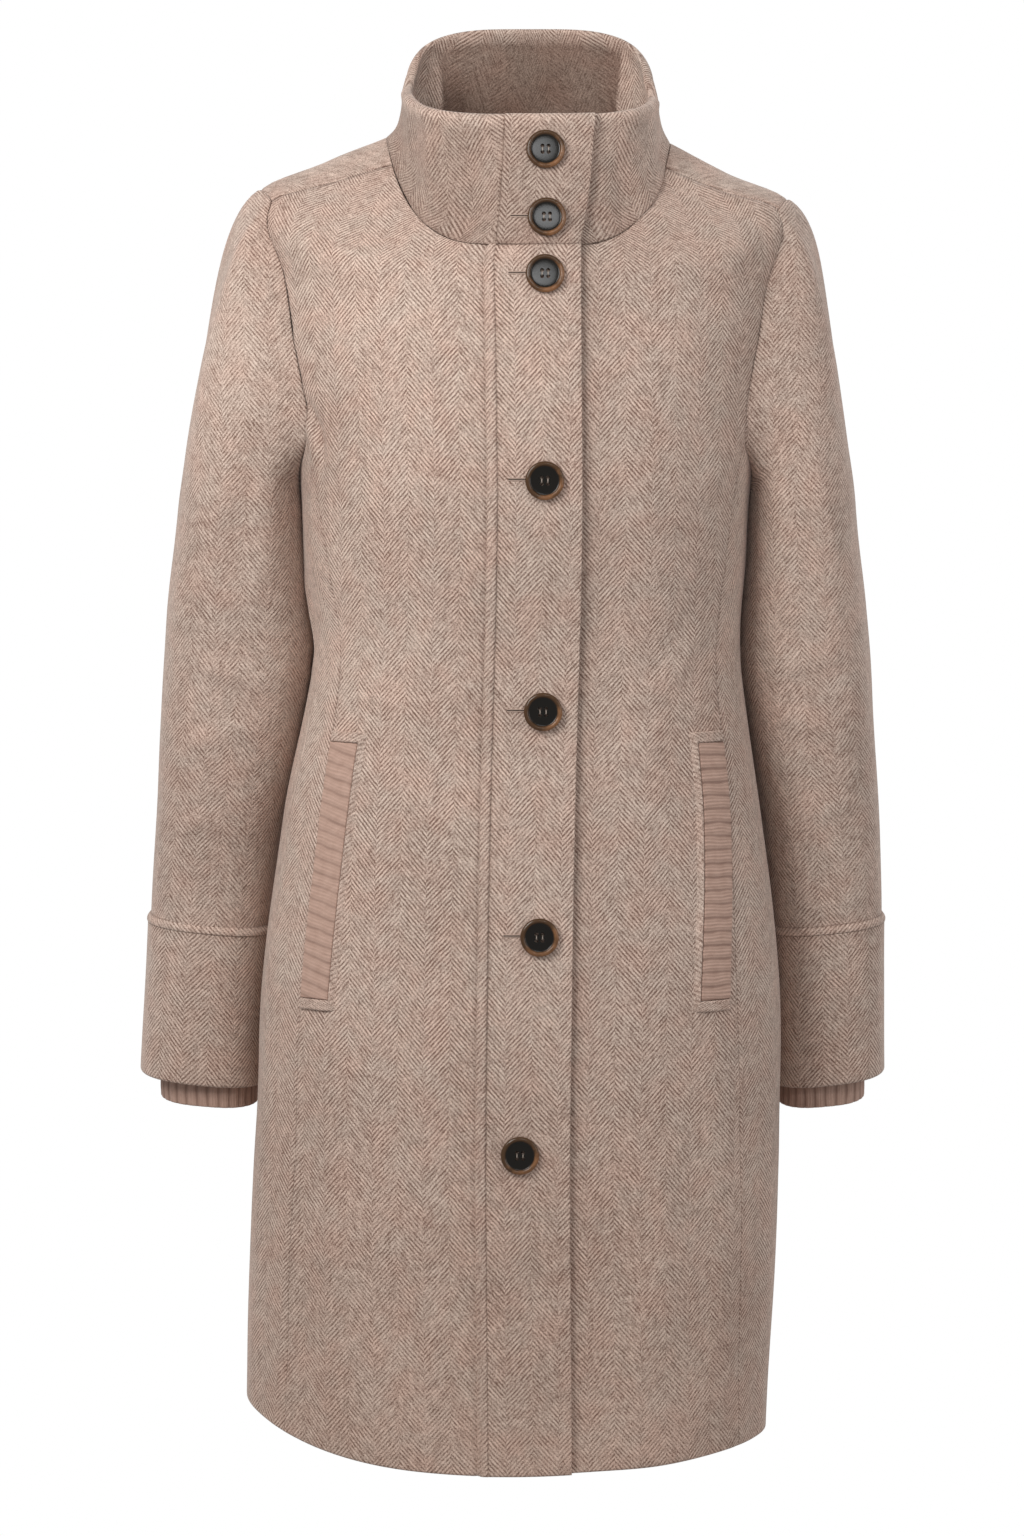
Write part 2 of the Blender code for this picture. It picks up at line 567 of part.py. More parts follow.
def make_buttons():
    """The buttons from the collar down, each on the cloth under it."""
    shared = button_mesh()
    places = [(COLLAR, TAB_PROUD, z, x) for z, x in COLLAR_BUTTONS]
    places += [(BODY, PLACKET_PROUD, z, x) for z, x in PLACKET_BUTTONS]
    for number, (surface, proud, z, x) in enumerate(places, start=1):
        last_row = NECK_ROW if surface is BODY else len(COLLAR_RINGS) - 1
        angle = 0.0
        for _ in range(BUTTON_SEAT_STEPS):
            row = surface.row_at_height(angle, z, last_row)
            angle = surface.front_angle(row, x)
        outwards = Vector(surface.normal(row, angle))
        across = Vector((0, 0, 1)).cross(outwards).normalized()
        turned = Matrix((across, outwards.cross(across), outwards)).transposed().to_4x4()
        button = add_node(f"button_{number}", shared.copy(), HORN)
        button.matrix_world = Matrix.Translation(surface.at(row, angle, proud + BUTTON_SEAT_GAP)) @ turned


clear_scene()
parts = new_collection("winter_coat")
cutters = new_collection("cutters")
coat_origin = bpy.data.objects.new("coat_origin", None)
parts.objects.link(coat_origin)
make_fronts()
make_sides()
make_back()
make_collar()
for wearer_side in SIDES:
    make_sleeve(wearer_side)
    make_pocket(wearer_side)
make_buttons()
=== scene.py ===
"""Looks of the winter coat: thin cloth shells on the CAD's form, with creases, seams, ribs and buttons.

Metres, +Z up, in the frame's own axes: the coat faces -Y and its wearer's right is at -X. The body, the
collar and each sleeve are surfaces with rows along them and angles in degrees round them, as in the CAD.
Each cloth piece is a patch of one of them, moved by its relief and thickened inwards.
"""

import math
from collections import namedtuple
from itertools import product

import bmesh
import bpy
import numpy as np
from mathutils import Matrix, Vector, noise
from mathutils.bvhtree import BVHTree


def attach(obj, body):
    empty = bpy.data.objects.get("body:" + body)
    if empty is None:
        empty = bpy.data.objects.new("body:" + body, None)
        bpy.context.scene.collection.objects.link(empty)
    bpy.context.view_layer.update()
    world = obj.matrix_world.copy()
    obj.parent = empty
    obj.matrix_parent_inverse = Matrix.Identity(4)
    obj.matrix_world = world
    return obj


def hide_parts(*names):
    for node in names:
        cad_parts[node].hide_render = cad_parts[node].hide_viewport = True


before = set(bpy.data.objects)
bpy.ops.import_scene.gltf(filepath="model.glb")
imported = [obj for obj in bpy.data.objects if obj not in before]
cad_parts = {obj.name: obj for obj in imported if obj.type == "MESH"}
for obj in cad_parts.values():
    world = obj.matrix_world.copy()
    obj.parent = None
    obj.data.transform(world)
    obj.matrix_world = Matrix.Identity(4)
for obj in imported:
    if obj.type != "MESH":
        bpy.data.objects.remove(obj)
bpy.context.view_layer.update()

# Cloth and seams. An edge has the depth that it drops by, the width of its rounding and the strength of the
# painted seam shadow along its line. The long seams soften down the skirt, and the placket's seam towards its
# top.
Edge = namedtuple("Edge", "drop roll shade", defaults=(0.0,))
SEAM_SHADOW_WIDTH = 0.0013
CLOTH = 0.0024
FACED_CLOTH = 0.0044
RIB_KNIT = 0.0022
SEAM_GAP = 0.0003
SEAM_TRIM = 0.0001
SEAM = Edge(0.0008, 0.0016, 0.34)
LONG_SEAM, SKIRT_SEAM = Edge(0.0005, 0.0016, 0.17), Edge(0.0003, 0.0016, 0.06)
SKIRT_SEAM_ROW, SKIRT_SEAM_ROWS = 5.0, 1.5
ARMHOLE_EDGE = Edge(0.0010, 0.0016, 0.70)
PLACKET_SEAM, PLACKET_SEAM_TOP = Edge(0.0011, 0.0018, 0.50), Edge(0.0008, 0.0018, 0.16)
NECK_SEAM = Edge(0.0002, 0.0008, 0.16)
TAB_SEAM = Edge(0.0005, 0.0016, 0.12)
FREE_EDGE = Edge(0.0012, 0.0014)
FACED_EDGE = Edge(0.0022, 0.0026)
PLACKET_FREE_EDGE = Edge(0.0010, 0.0010)
LIP_EDGE = Edge(0.0042, 0.0055)
SHOULDER_EDGE = Edge(0.0018, 0.0024, 0.95)
HEM_EDGE = Edge(0.0020, 0.0024)
KNIT_EDGE = Edge(0.0011, 0.0013)
ROLL_SHARES = np.array((0, 0.08, 0.25, 0.5, 0.75, 1))
HEM_EXTRA, HEM_HEIGHT, HEM_FADE = 0.0016, 0.036, 0.008
LIP_EXTRA, LIP_HEIGHT = 0.0046, 0.016

# The body surface: a row for each ring, from the hem to the neck seam. Right and left are the wearer's.
RING_COLUMNS = ("right_z", "left_z", "front_z", "back_z", "half_width", "front_depth", "back_depth",
                "squareness", "centre_x", "side_y", "level_ends")
BODY_RINGS = (
    (-0.942, -0.969, -0.976, -0.972, 0.1980, 0.1450, 0.1480, 2.30, -0.0050, -0.015, 0),
    (-0.826, -0.834, -0.834, -0.834, 0.1990, 0.1400, 0.1460, 2.30, 0.0000, -0.020, 0),
    (-0.734, -0.737, -0.736, -0.736, 0.1985, 0.1365, 0.1420, 2.30, 0.0045, -0.020, 0),
    (-0.626, -0.626, -0.626, -0.626, 0.1960, 0.1320, 0.1360, 2.30, 0.0065, -0.020, 0),
    (-0.500, -0.500, -0.500, -0.500, 0.1800, 0.1220, 0.1180, 2.30, 0.0080, -0.016, 0),
    (-0.385, -0.385, -0.385, -0.385, 0.1615, 0.1150, 0.1000, 2.30, 0.0110, -0.008, 0),
    (-0.305, -0.305, -0.308, -0.303, 0.1665, 0.1240, 0.1040, 2.35, 0.0100, -0.002, 0),
    (-0.245, -0.245, -0.250, -0.242, 0.1700, 0.1280, 0.1100, 2.40, 0.0100, 0.000, 1),
    (-0.150, -0.150, -0.162, -0.145, 0.1840, 0.1200, 0.1130, 2.30, 0.0100, 0.000, 1),
    (-0.087, -0.090, -0.118, -0.080, 0.1910, 0.1120, 0.1080, 2.10, 0.0100, 0.000, 1),
    (-0.0375, -0.0445, -0.097, -0.033, 0.1975, 0.1085, 0.0980, 2.00, 0.0090, 0.000, 1),
    (-0.0125, -0.021, -0.087, -0.009, 0.1500, 0.1065, 0.0860, 2.00, 0.0115, 0.000, 1),
    (0.005, 0.002, -0.078, 0.018, 0.1060, 0.1050, 0.0740, 2.15, 0.0125, 0.000, 1),
)
SHOULDER_ROW, NECK_ROW, LEVEL_ROW = 10, 12, 4

# The shoulders' tips are filled out: how far, and over what rows and angles
TIP_FILL = {"right": 0.0018, "left": 0.0012}
TIP_ROW, TIP_ROWS, TIP_ANGLE, TIP_ANGLES = 10.0, 0.40, 92.0, 16.0

# Soft upright folds of the skirt: angle, spread, height and the row above which each is gone
SKIRT_FOLDS = (
    (-74, 9, 0.0020, 4.2),
    (-30, 11, 0.0020, 3.4),
    (34, 10, 0.0030, 3.6),
    (78, 9, 0.0020, 4.4),
    (141, 9, 0.0040, 4.0),
    (166, 8, 0.0040, 4.6),
    (196, 10, 0.0045, 4.2),
    (221, 8, 0.0040, 4.6),
)
FOLD_FADE = 1.5

# The armhole seam at even turns from its top, over the front: row and angle
ARMHOLE_SEAM = (
    (10.00, 76),
    (9.50, 71),
    (8.30, 64.5),
    (7.35, 63),
    (7.00, 90),
    (7.35, 109),
    (8.30, 116),
    (9.55, 107),
)
FRONT_SEAM_TURN, BACK_SEAM_TURN = 135.0, 225.0
SEAM_TOP_ROW, UNDERARM_ROW = 7.35, 7.0

# Panel seams, as ring angles from the centre front: the long seams at even steps from the hem to the
# armhole, the shoulder seam from the armhole to the neck
FRONT_SEAM = {
    "right": (53.0, 53.0, 53.0, 52.8, 53.5, 55.5, 57.5, 63.0),
    "left": (58.0, 55.0, 52.5, 51.5, 55.5, 57.0, 58.5, 63.0),
}
BACK_SEAM = (124.0, 124.0, 124.0, 124.0, 124.0, 124.0, 121.0, 109.0)
SHOULDER_SEAM = (76.0, 72.5, 71.0)

# The placket on the right front, by its edge's place across at some heights, and the left front under it
PLACKET_EDGE = ((-0.976, 0.0440), (-0.735, 0.0420), (-0.500, 0.0455), (-0.300, 0.0510), (-0.078, 0.0495))
PLACKET_EASE = np.linspace(-0.06, 0.06, 9)
PLACKET_WIDTH = 0.0615
PLACKET_PROUD = 0.0020
PLACKET_TUCK = 0.0004
PLACKET_GUIDE = 15.0
UNDERLAP = 0.0420
LEFT_FRONT_SINK = 0.0034
LEFT_FRONT_RISE = 0.0700

# Painted shadow on the left front beside the placket's edge and a little painted shade over all of it,
# and how plain the fronts' weave gets towards the hem
LAP_SHADE, LAP_SHADE_REACH, LAP_SHADE_POWER, LEFT_FRONT_SHADE = 0.17, 0.012, 1.5, 0.03
HEM_NAP, HEM_NAP_Z, HEM_NAP_FADE = 0.28, -0.62, 0.30

# The stitched ridge beside the placket seam, the stitch groove along it with painted shade in it, and its
# plainer weave
RIDGE_WIDTH, RIDGE_HEIGHT, RIDGE_SLOPE = 0.0074, 0.0024, 0.0030
GROOVE_DEPTH, GROOVE_WIDTH, GROOVE_SHADE = 0.0010, 0.0010, 0.18
RIDGE_NAP, RIDGE_NAP_START, RIDGE_NAP_FADE = 0.45, 0.0020, 0.0020
RIDGE_BAND = np.array((0.0040, 0.0054, 0.0062, 0.0067, 0.0071, 0.0075, 0.0080, 0.0087, 0.0100, 0.0125))

# The collar stands on the neck seam: a row for each ring, from the seam to the top edge
COLLAR_RINGS = (
    BODY_RINGS[NECK_ROW],
    (0.013, 0.011, -0.058, 0.034, 0.1000, 0.1015, 0.0735, 2.20, 0.0135, 0.000, 1),
    (0.024, 0.020, -0.030, 0.058, 0.0970, 0.0965, 0.0710, 2.40, 0.0140, 0.000, 1),
    (0.043, 0.036, 0.017, 0.092, 0.0945, 0.0890, 0.0670, 2.80, 0.0140, 0.000, 1),
)
COLLAR_LOW_ROW, COLLAR_TOP_ROW = 0.0, 3.0

# Inside, the collar turns at a corner on each side of its back: the angle from the centre back, how far the
# corner stands out, over what angle and from what row, and the angle over which the painted shade changes
# there
CORNER_ANGLE, CORNER_HEIGHT, CORNER_SPREAD, CORNER_LOW_ROW, CORNER_FADE = 42.0, 0.0060, 26.0, 1.0, 1.5

# The collar's painted shade outside, inside its back and inside its sides, and how it grows below the lip
COLLAR_SHADE, COLLAR_INSIDE_SHADE, COLLAR_SIDE_SHADE, COLLAR_SHADE_TILT = 0.22, 0.74, 0.06, 0.14
SHADE_START, SHADE_NEAR, SHADE_FAR, SHADE_NEAR_SHARE = 0.005, 0.009, 0.080, 0.75
SHADE_PATCH, SHADE_UNEVEN = 0.028, 0.14

# The collar's rolled lip, its tab, and its left end under the tab
LIP_ROLL, LIP_ROLL_AT, LIP_ROLL_SPREAD = 0.0013, 0.0050, 0.0045
TAB_SEAM_X = (-0.0110, -0.0050)
TAB_EDGE_X = (0.0490, 0.0600)
TAB_PROUD = 0.0025
COLLAR_SINK = 0.0032
COLLAR_LEFT_END = 2.0
COLLAR_RISE_ANGLE = 22.0

# A sleeve's sections from the biceps to the rib cuff's hem, each with its reach from the coat's middle
SLEEVE_COLUMNS = ("z", "right_inner", "right_outer", "left_inner", "left_outer", "y", "half_fore", "rise")
SLEEVE_SECTIONS = (
    (-0.264, 0.1546, 0.2505, 0.1755, 0.2585, 0.014, 0.0720, 0.000),
    (-0.325, 0.1515, 0.2590, 0.1730, 0.2660, 0.020, 0.0680, 0.000),
    (-0.385, 0.1490, 0.2655, 0.1705, 0.2725, 0.027, 0.0640, 0.001),
    (-0.445, 0.1600, 0.2695, 0.1795, 0.2775, 0.034, 0.0610, 0.002),
    (-0.507, 0.1735, 0.2735, 0.1900, 0.2820, 0.041, 0.0585, 0.003),
    (-0.568, 0.1820, 0.2785, 0.1965, 0.2860, 0.048, 0.0565, 0.004),
    (-0.630, 0.1900, 0.2820, 0.2020, 0.2865, 0.052, 0.0555, 0.005),
    (-0.712, 0.1935, 0.2870, 0.2025, 0.2880, 0.055, 0.0555, 0.005),
    (-0.730, 0.1935, 0.2870, 0.2025, 0.2880, 0.055, 0.0555, 0.003),
)
SLEEVE_SQUARENESS = 2.5
SIDES = {"right": -1, "left": 1}

# A sleeve's cap: the ways it leaves the armhole and reaches the biceps, where it laps over the shoulder, how
# far its edge runs under the armhole's, and how its weave stays upright
CAP_OUT, CAP_OUT_AT_TOP = 0.75, 0.12
CAP_DOWN, CAP_DOWN_AT_TOP = 0.45, 0.04
CAP_OVERLAP, CAP_RISE = 0.15, 0.0014
CAP_OVERLAP_TURN, CAP_OVERLAP_FROM, CAP_OVERLAP_FADE = 22.0, 0.72, 0.2
ARMHOLE_GAP, UNDERARM_GAP, UNDERARM_FROM, UNDERARM_FADE = -0.0009, -0.0042, 0.35, 0.4
CAP_WEAVE_EASE, CAP_WEAVE_ROWS, SLEEVE_WEAVE_TURN = 1.06, 0.35, 75.0
CAP_FORWARD = 0.20
BICEPS_FLARE = 0.14
UNDERARM_PULL = 0.006
CAP_FIRST_PULL, CAP_LAST_PULL = 0.036, 0.124
BICEPS_ROW = 1.0

# Cuffs, the raised tuck above each, and the knitted inner cuffs
CUFF_SEAM_ROW, CUFF_HEM_ROW = 6.42, 8.0
CUFF_PROUD = 0.0020
CUFF_WELT_ROWS = (6.315, 6.435)
CUFF_WELT_THICKNESS = 0.0020
CUFF_WELT_RISE, CUFF_WELT_STEEPNESS = (0.0004, 0.0026), 1.6
CUFF_WELT_EDGE = Edge(0.0010, 0.0016, 0.80)
SLEEVE_NAP, WELT_NAP, CUFF_WELT_NAP = -0.25, -0.60, -0.30
RIB_CUFF_BAND, RIB_CUFF_INNER_SHARE, CUFF_FINE_SHADE = 0.0085, 0.68, 0.12
RIB_CUFF_PROFILE = ((7.30, 0.0027), (7.55, 0.0090), (7.80, 0.0125), (8.0, 0.0135), (9.0, 0.0135))

# The pockets: a knitted strip beside each front seam, and the cloth welt round its front edge and ends
POCKET_TOP_Z, POCKET_BOTTOM_Z = -0.440, -0.628
POCKET_SEAM_MARGIN = 0.0010
POCKET_RIB_WIDTH = 0.0235
POCKET_ANGLE = 48.0
POCKET_SHIFT = {"right": (0.0, 0.0, 0.0), "left": (0.0065, 0.0005, 0.0)}
POCKET_RIB_TILT = {"right": 0.25, "left": -0.03}
POCKET_WELT_WIDTH = 0.0058
POCKET_BAR_HEIGHT = 0.0080
POCKET_BAR_FADE, POCKET_WELT_SINK = 0.010, 0.0030
POCKET_WELT_SPANS, POCKET_BAR_STEPS, POCKET_FRONT_STEPS = 10, 24, 110

# Knitted ribs: a deep groove between bands of fine ribs, with painted shade down in the grooves
RIB_BAND, FINE_RIBS = 0.0100, 4
RIB_GROOVE_DEPTH, FINE_RIB_DEPTH, RIB_GROOVE_SHARE = 0.0008, 0.00035, 0.14
RIB_SWAY, RIB_SWAY_SIZE = 0.12, 0.012
RIB_GROOVE_MEAN, RIB_GROOVE_UNEVEN = 0.75, 0.5
FINE_RIB_SHADE, CUFF_RIB_SHADE, CUFF_RIB_GROOVE = 0.45, 0.30, 1.3
POCKET_RIB_GROOVE = {"right": 0.85, "left": 1.25}

# Creases: an angle and a height at each end, the spread, and the height above the cloth
BODY_CREASES = (
    (-92, -0.335, -78, -0.347, 0.020, 0.0028),
    (-59, -0.190, -55, -0.235, 0.007, -0.0040),
    (-44, -0.255, -57, -0.215, 0.011, 0.0012),
    (-30, -0.105, -46, -0.190, 0.014, 0.0010),
    (-50, -0.385, -24, -0.425, 0.011, 0.0010),
    (-47, -0.425, -20, -0.470, 0.012, -0.0008),
    (-42, -0.660, -40, -0.930, 0.016, 0.0015),
    (-20, -0.700, -23, -0.955, 0.018, 0.0012),
    (44, -0.260, 63, -0.205, 0.011, 0.0013),
    (33, -0.110, 49, -0.200, 0.014, 0.0010),
    (52, -0.360, 26, -0.415, 0.010, 0.0014),
    (48, -0.410, 20, -0.455, 0.011, 0.0010),
    (28, -0.640, 30, -0.955, 0.016, 0.0012),
    (45, -0.660, 48, -0.935, 0.016, 0.0015),
    (58, -0.095, 67, -0.025, 0.013, -0.0022),
    (95, -0.370, 112, -0.440, 0.011, 0.0016),
    (-92, -0.380, -110, -0.450, 0.011, 0.0016),
    (150, -0.300, 205, -0.335, 0.012, 0.0015),
    (168, -0.360, 140, -0.430, 0.012, 0.0016),
    (196, -0.365, 222, -0.425, 0.012, 0.0015),
    (163, -0.110, 138, -0.200, 0.014, 0.0014),
    (197, -0.115, 221, -0.205, 0.014, 0.0013),
    (178, -0.500, 174, -0.900, 0.020, 0.0018),
)
SLEEVE_CREASES = {
    "right": (
        (60, -0.380, 122, -0.408, 0.008, 0.0018),
        (112, -0.430, 50, -0.458, 0.009, 0.0015),
        (70, -0.500, 126, -0.527, 0.009, 0.0012),
        (96, -0.195, 62, -0.290, 0.012, 0.0014),
        (128, -0.225, 104, -0.330, 0.010, 0.0018),
        (44, -0.560, 100, -0.598, 0.010, 0.0011),
        (-60, -0.388, -122, -0.412, 0.008, 0.0019),
        (-116, -0.440, -58, -0.470, 0.009, 0.0016),
        (-45, -0.545, -98, -0.585, 0.010, 0.0012),
        (-70, -0.190, -95, -0.290, 0.012, 0.0014),
        (16, -0.250, -12, -0.360, 0.014, 0.0010),
    ),
    "left": (
        (64, -0.372, 118, -0.398, 0.009, 0.0016),
        (116, -0.422, 56, -0.450, 0.008, 0.0017),
        (66, -0.492, 120, -0.514, 0.009, 0.0013),
        (92, -0.205, 58, -0.300, 0.012, 0.0013),
        (126, -0.235, 98, -0.345, 0.010, 0.0016),
        (50, -0.550, 104, -0.584, 0.010, 0.0011),
        (-56, -0.396, -118, -0.420, 0.008, 0.0018),
        (-112, -0.448, -60, -0.476, 0.009, 0.0015),
        (-48, -0.556, -100, -0.592, 0.010, 0.0012),
        (-72, -0.198, -94, -0.300, 0.012, 0.0014),
        (12, -0.240, -14, -0.350, 0.014, 0.0010),
    ),
}
COLLAR_CREASES = (
    (-36, -0.070, -22, -0.012, 0.015, -0.0042),
    (-62, -0.048, -54, 0.012, 0.014, -0.0018),
    (36, -0.075, 46, -0.015, 0.012, -0.0030),
    (60, -0.055, 66, 0.010, 0.012, 0.0016),
    (120, 0.020, 150, 0.055, 0.014, -0.0014),
    (238, 0.018, 212, 0.052, 0.014, -0.0013),
)
BODY_DEGREE, SLEEVE_DEGREE, COLLAR_DEGREE = 0.0029, 0.00088, 0.0016
CREASE_END, CREASE_SIDE, CREASE_SIDE_HEIGHT, CREASE_SIDE_SPREAD = 0.2, 1.7, 0.55, 1.1
CREASE_SWAY, CREASE_SWAY_RATE, CREASE_SWAY_SHIFT = 0.4, 5, 40

# Unevenness: the size and height of the cloth's broad waves, and of the puckers beside its seams, with the
# cuffs' share of the one and the sleeves' of the other
WAVE_SIZE, WAVE_HEIGHT, CUFF_WAVES = 0.085, 0.0014, 0.6
PUCKER_SIZE, PUCKER_HEIGHT, PUCKER_REACH, SLEEVE_PUCKERS = 0.011, 0.0007, 0.006, 0.5

# Buttons, by their places up and across on the collar tab and on the placket
COLLAR_BUTTONS = ((-0.0103, 0.0240), (-0.0590, 0.0247))
PLACKET_BUTTONS = ((-0.0995, 0.0236), (-0.2470, 0.0234), (-0.4145, 0.0224), (-0.5780, 0.0199),
                   (-0.7370, 0.0058))
BUTTON_DIAMETER = 0.0280
BUTTON_THICKNESS = 0.0042
BUTTON_PROFILE = ((0, 0.62), (0.35, 0.63), (0.62, 0.66), (0.73, 0.72), (0.79, 0.9), (0.84, 0.99), (0.9, 0.98),
                  (0.97, 0.82), (1, 0.52), (0.96, 0.2), (0.84, 0.04), (0.7, 0), (0, 0))
BUTTON_STEPS, BUTTON_PROFILE_STEPS, BUTTON_SEAT_STEPS = 64, 6, 6
BUTTON_SEAT_GAP = 0.0007
BUTTON_MERGE, BUTTON_SHARP_ANGLE = 0.000005, 50.0
BUTTON_HOLE_DIAMETER, BUTTON_HOLE_SPACING, BUTTON_HOLE_SIDES = 0.0029, 0.0044, 16

# A thread's arch between two holes: shares of half the holes' spacing, each with its height above the face
THREAD_RADIUS = 0.00036
THREAD_ARCH = ((-0.66, -0.002), (-0.62, 0), (-0.4, 0.0003), (0.4, 0.0003), (0.62, 0), (0.66, -0.002))
TUBE_SIDES, TUBE_ASIDE = 8, (0.123, 0.456, 0.789)

# Buttonholes beside the second to the sixth button: from and to, left of the button's centre
BUTTONHOLES = (1, 2, 3, 4, 5)
BUTTONHOLE_SPAN, BUTTONHOLE_UP = (0.0100, 0.0262), 0.0010
BUTTONHOLE_LIP, BUTTONHOLE_HALF_GAP, BUTTONHOLE_STEPS = 0.00055, 0.0007, 24
# The slit is painted shadow: a near-black rod between the lips, laid just above the cloth
BUTTONHOLE_SLIT, BUTTONHOLE_RISE = 0.00045, 0.0001

# Narrow welts that are sewn to another piece
WELTS_ON = {
    "front_right": ("pocket_welt_right",),
    "front_left": ("pocket_welt_left",),
    "cuff_right": ("cuff_welt_right",),
    "cuff_left": ("cuff_welt_left",),
}

# Steps of the meshes and of the searches, the angles along which rows are spaced, how far round a place on
# the front or on an armhole is looked for, and the places of both sides of a shell in its bake map
BODY_STEP, SLEEVE_STEP, COLLAR_STEP, CUFF_STEP = 0.0042, 0.0042, 0.0032, 0.0040
RIB_STEP, RIB_SIDE_STEP, CUFF_WELT_STEP = 0.00055, 0.0020, 0.0010
CROSSING_STEPS = 40
PATH_STEPS, WIDTH_STEPS, SIDE_PANEL_WIDTH = 2000, 40, 0.2
FRONT_GUIDE, SIDE_GUIDE, BACK_GUIDE = -28.0, 90.0, 180.0
COLLAR_GUIDE, SLEEVE_GUIDE, CUFF_GUIDE = 60.0, 60.0, 90.0
FRONT_REACH, LAST_TURN = 60.0, 0.001
BAKE_SIZE, BAKE_STARTS, BAKE_LOW = (0.49, 0.98), (0.505, 0.005), 0.01

# Weave: the width of a herringbone stripe, the spacing and slope of its lines, where the stripes of each
# piece start from its seam, how the collar's weave turns, and where the shoulders' nap is plain
STRIPE, LINE, SLOPE = 0.0193, 0.0037, 1.10
RIGHT_FRONT_START, PLACKET_START, LEFT_FRONT_START, TAB_START = -0.0072, 0.0144, 0.0137, 0.0060
COLLAR_WEAVE_TURN, COLLAR_WEAVE_EASE = 20.0, 0.02
NAP_ROW, NAP_ROWS, NAP_ANGLE, NAP_ANGLES = 9.6, 0.5, 62.0, 14.0

# The wool: its lines' sway as noise scales and distances, the scales and contrasts of what makes it uneven,
# and the ramps of its lines, of their wear, of their fading in painted shade, of plain nap and of its rose
# tint
SWAY_SCALES, SWAYS = (38.0, 61.0), (0.0012, 0.0014)
DASHES, DASH_STEP, LINE_CONTRAST, DASH_CONTRAST, FIBRE_CONTRAST = 240.0, 3.7, 0.37, 0.95, 2.0
BROAD_CONTRAST, BLOTCH_CONTRAST = 0.35, 0.3
FIBRE_SCALE, WORN_SCALE, BROAD_SCALE, BLOTCH_SCALE, ROSE_SCALE = 1100.0, 110.0, 9.0, 90.0, 44.0
LINE_RAMP, WORN_RAMP = (-0.9, 0.6, -1.2, 0.8), (0.35, 0.65, 0.45, 1.0)
SHADED_RAMP, NAP_RAMP, ROSE_RAMP = (0.25, 0.6, 1.0, 0.25), (-1.0, 0.0, 0.2, 1.0), (0.36, 0.68, 0.0, 0.50)
EVEN_NOISE, ROUGH_NOISE = 0.5, 0.6
WOOL_LINE_BUMP, WOOL_BUMP, KNIT_BUMP = 0.3, (0.5, 0.0006), (0.4, 0.0004)
WOOL_LIGHT, WOOL_DARK = (0.79, 0.635, 0.540, 1), (0.215, 0.136, 0.105, 1)
# The random rose tint, and the colour of the painted shade
WOOL_ROSE, PAINTED_SHADE = (1.045, 0.90, 0.865, 1), (0.10, 0.04, 0.01, 1)
# Painted shade: the cloth darker and rosier towards the hem, by height
HEM_SHADE_TINT, HEM_SHADE_RAMP = (0.97, 0.93, 0.905, 1), (-0.97, -0.60, 1.0, 0.0)

# The knit, the horn, the threads and the buttonholes
KNIT_FIBRE_SCALE, KNIT_PATCH_SCALE = 1500.0, 160.0
KNIT_RAMP, KNIT_GROOVE_RAMP = (0.6, 1.4), (0.0, 1.0, 0.0, 0.6)
KNIT_LIGHT, KNIT_DARK = (0.64, 0.440, 0.358, 1), (0.49, 0.318, 0.252, 1)
# The colour of the painted shade down in the knit's grooves
KNIT_GROOVE_SHADE = (0.15, 0.083, 0.062, 1)
# The horn's rim, its random amber streaks, and the painted glow of light through each rim at its lower right
HORN_RIM, HORN_STREAK_SCALE, HORN_GLOW_RAMP = (0.0101, 0.0112), 130.0, (0.0, 0.9)
HORN_GLOW_ASIDE, HORN_STREAKS, HORN_STREAK_LEVEL = 40.0, 2.4, -1.25
HORN_BLACK, HORN_BROWN = (0.006, 0.0045, 0.003, 1), (0.075, 0.036, 0.015, 1)
HORN_AMBER = (0.27, 0.125, 0.055, 1)
THREAD_COLOUR, LIP_COLOUR = (0.42, 0.35, 0.30, 1), (0.46, 0.34, 0.28, 1)
# The buttonhole's slit is painted shadow
SLIT_SHADOW_COLOUR = (0.03, 0.02, 0.016, 1)

# The surround's strength, the lights, each with its place, aim, size, power and colour, and the camera
AMBIENT = 0.36
LIGHTS = (
    ("key", (-0.86, -1.16, 0.50), (0, 0, -0.35), (0.7, 0.9), 18.0, (1.0, 0.985, 0.965)),
    ("fill", (2.2, -1.2, 0.2), (0, 0, -0.4), (1.2, 1.6), 11.5, (1.0, 0.99, 0.98)),
    ("button_card", (0.36, -1.96, 0.72), (0, 0, -0.06), (0.55, 0.30), 4.4, (0.97, 0.985, 1.0)),
    ("back_left", (-1.7, 1.6, 0.6), (0, 0, -0.4), (1.2, 1.8), 20.0, (1.0, 1.0, 1.0)),
    ("back_right", (1.7, 1.6, 0.6), (0, 0, -0.4), (1.2, 1.8), 20.0, (1.0, 1.0, 1.0)),
)
CAMERA_PLACE, CAMERA_PITCH, LENS, SENSOR = (0, -2.74, -0.189), 5.8, 85.0, 36.0


def smooth(share):
    share = np.clip(share, 0, 1)
    return share * share * (3 - 2 * share)


def bell(offset):
    """From 1 at no offset down to about 0 at an offset of 2."""
    return np.exp(-(offset ** 2))


def blend(first, second, share):
    return first + (second - first) * share


def unit(vectors):
    return vectors / np.linalg.norm(vectors, axis=-1, keepdims=True)


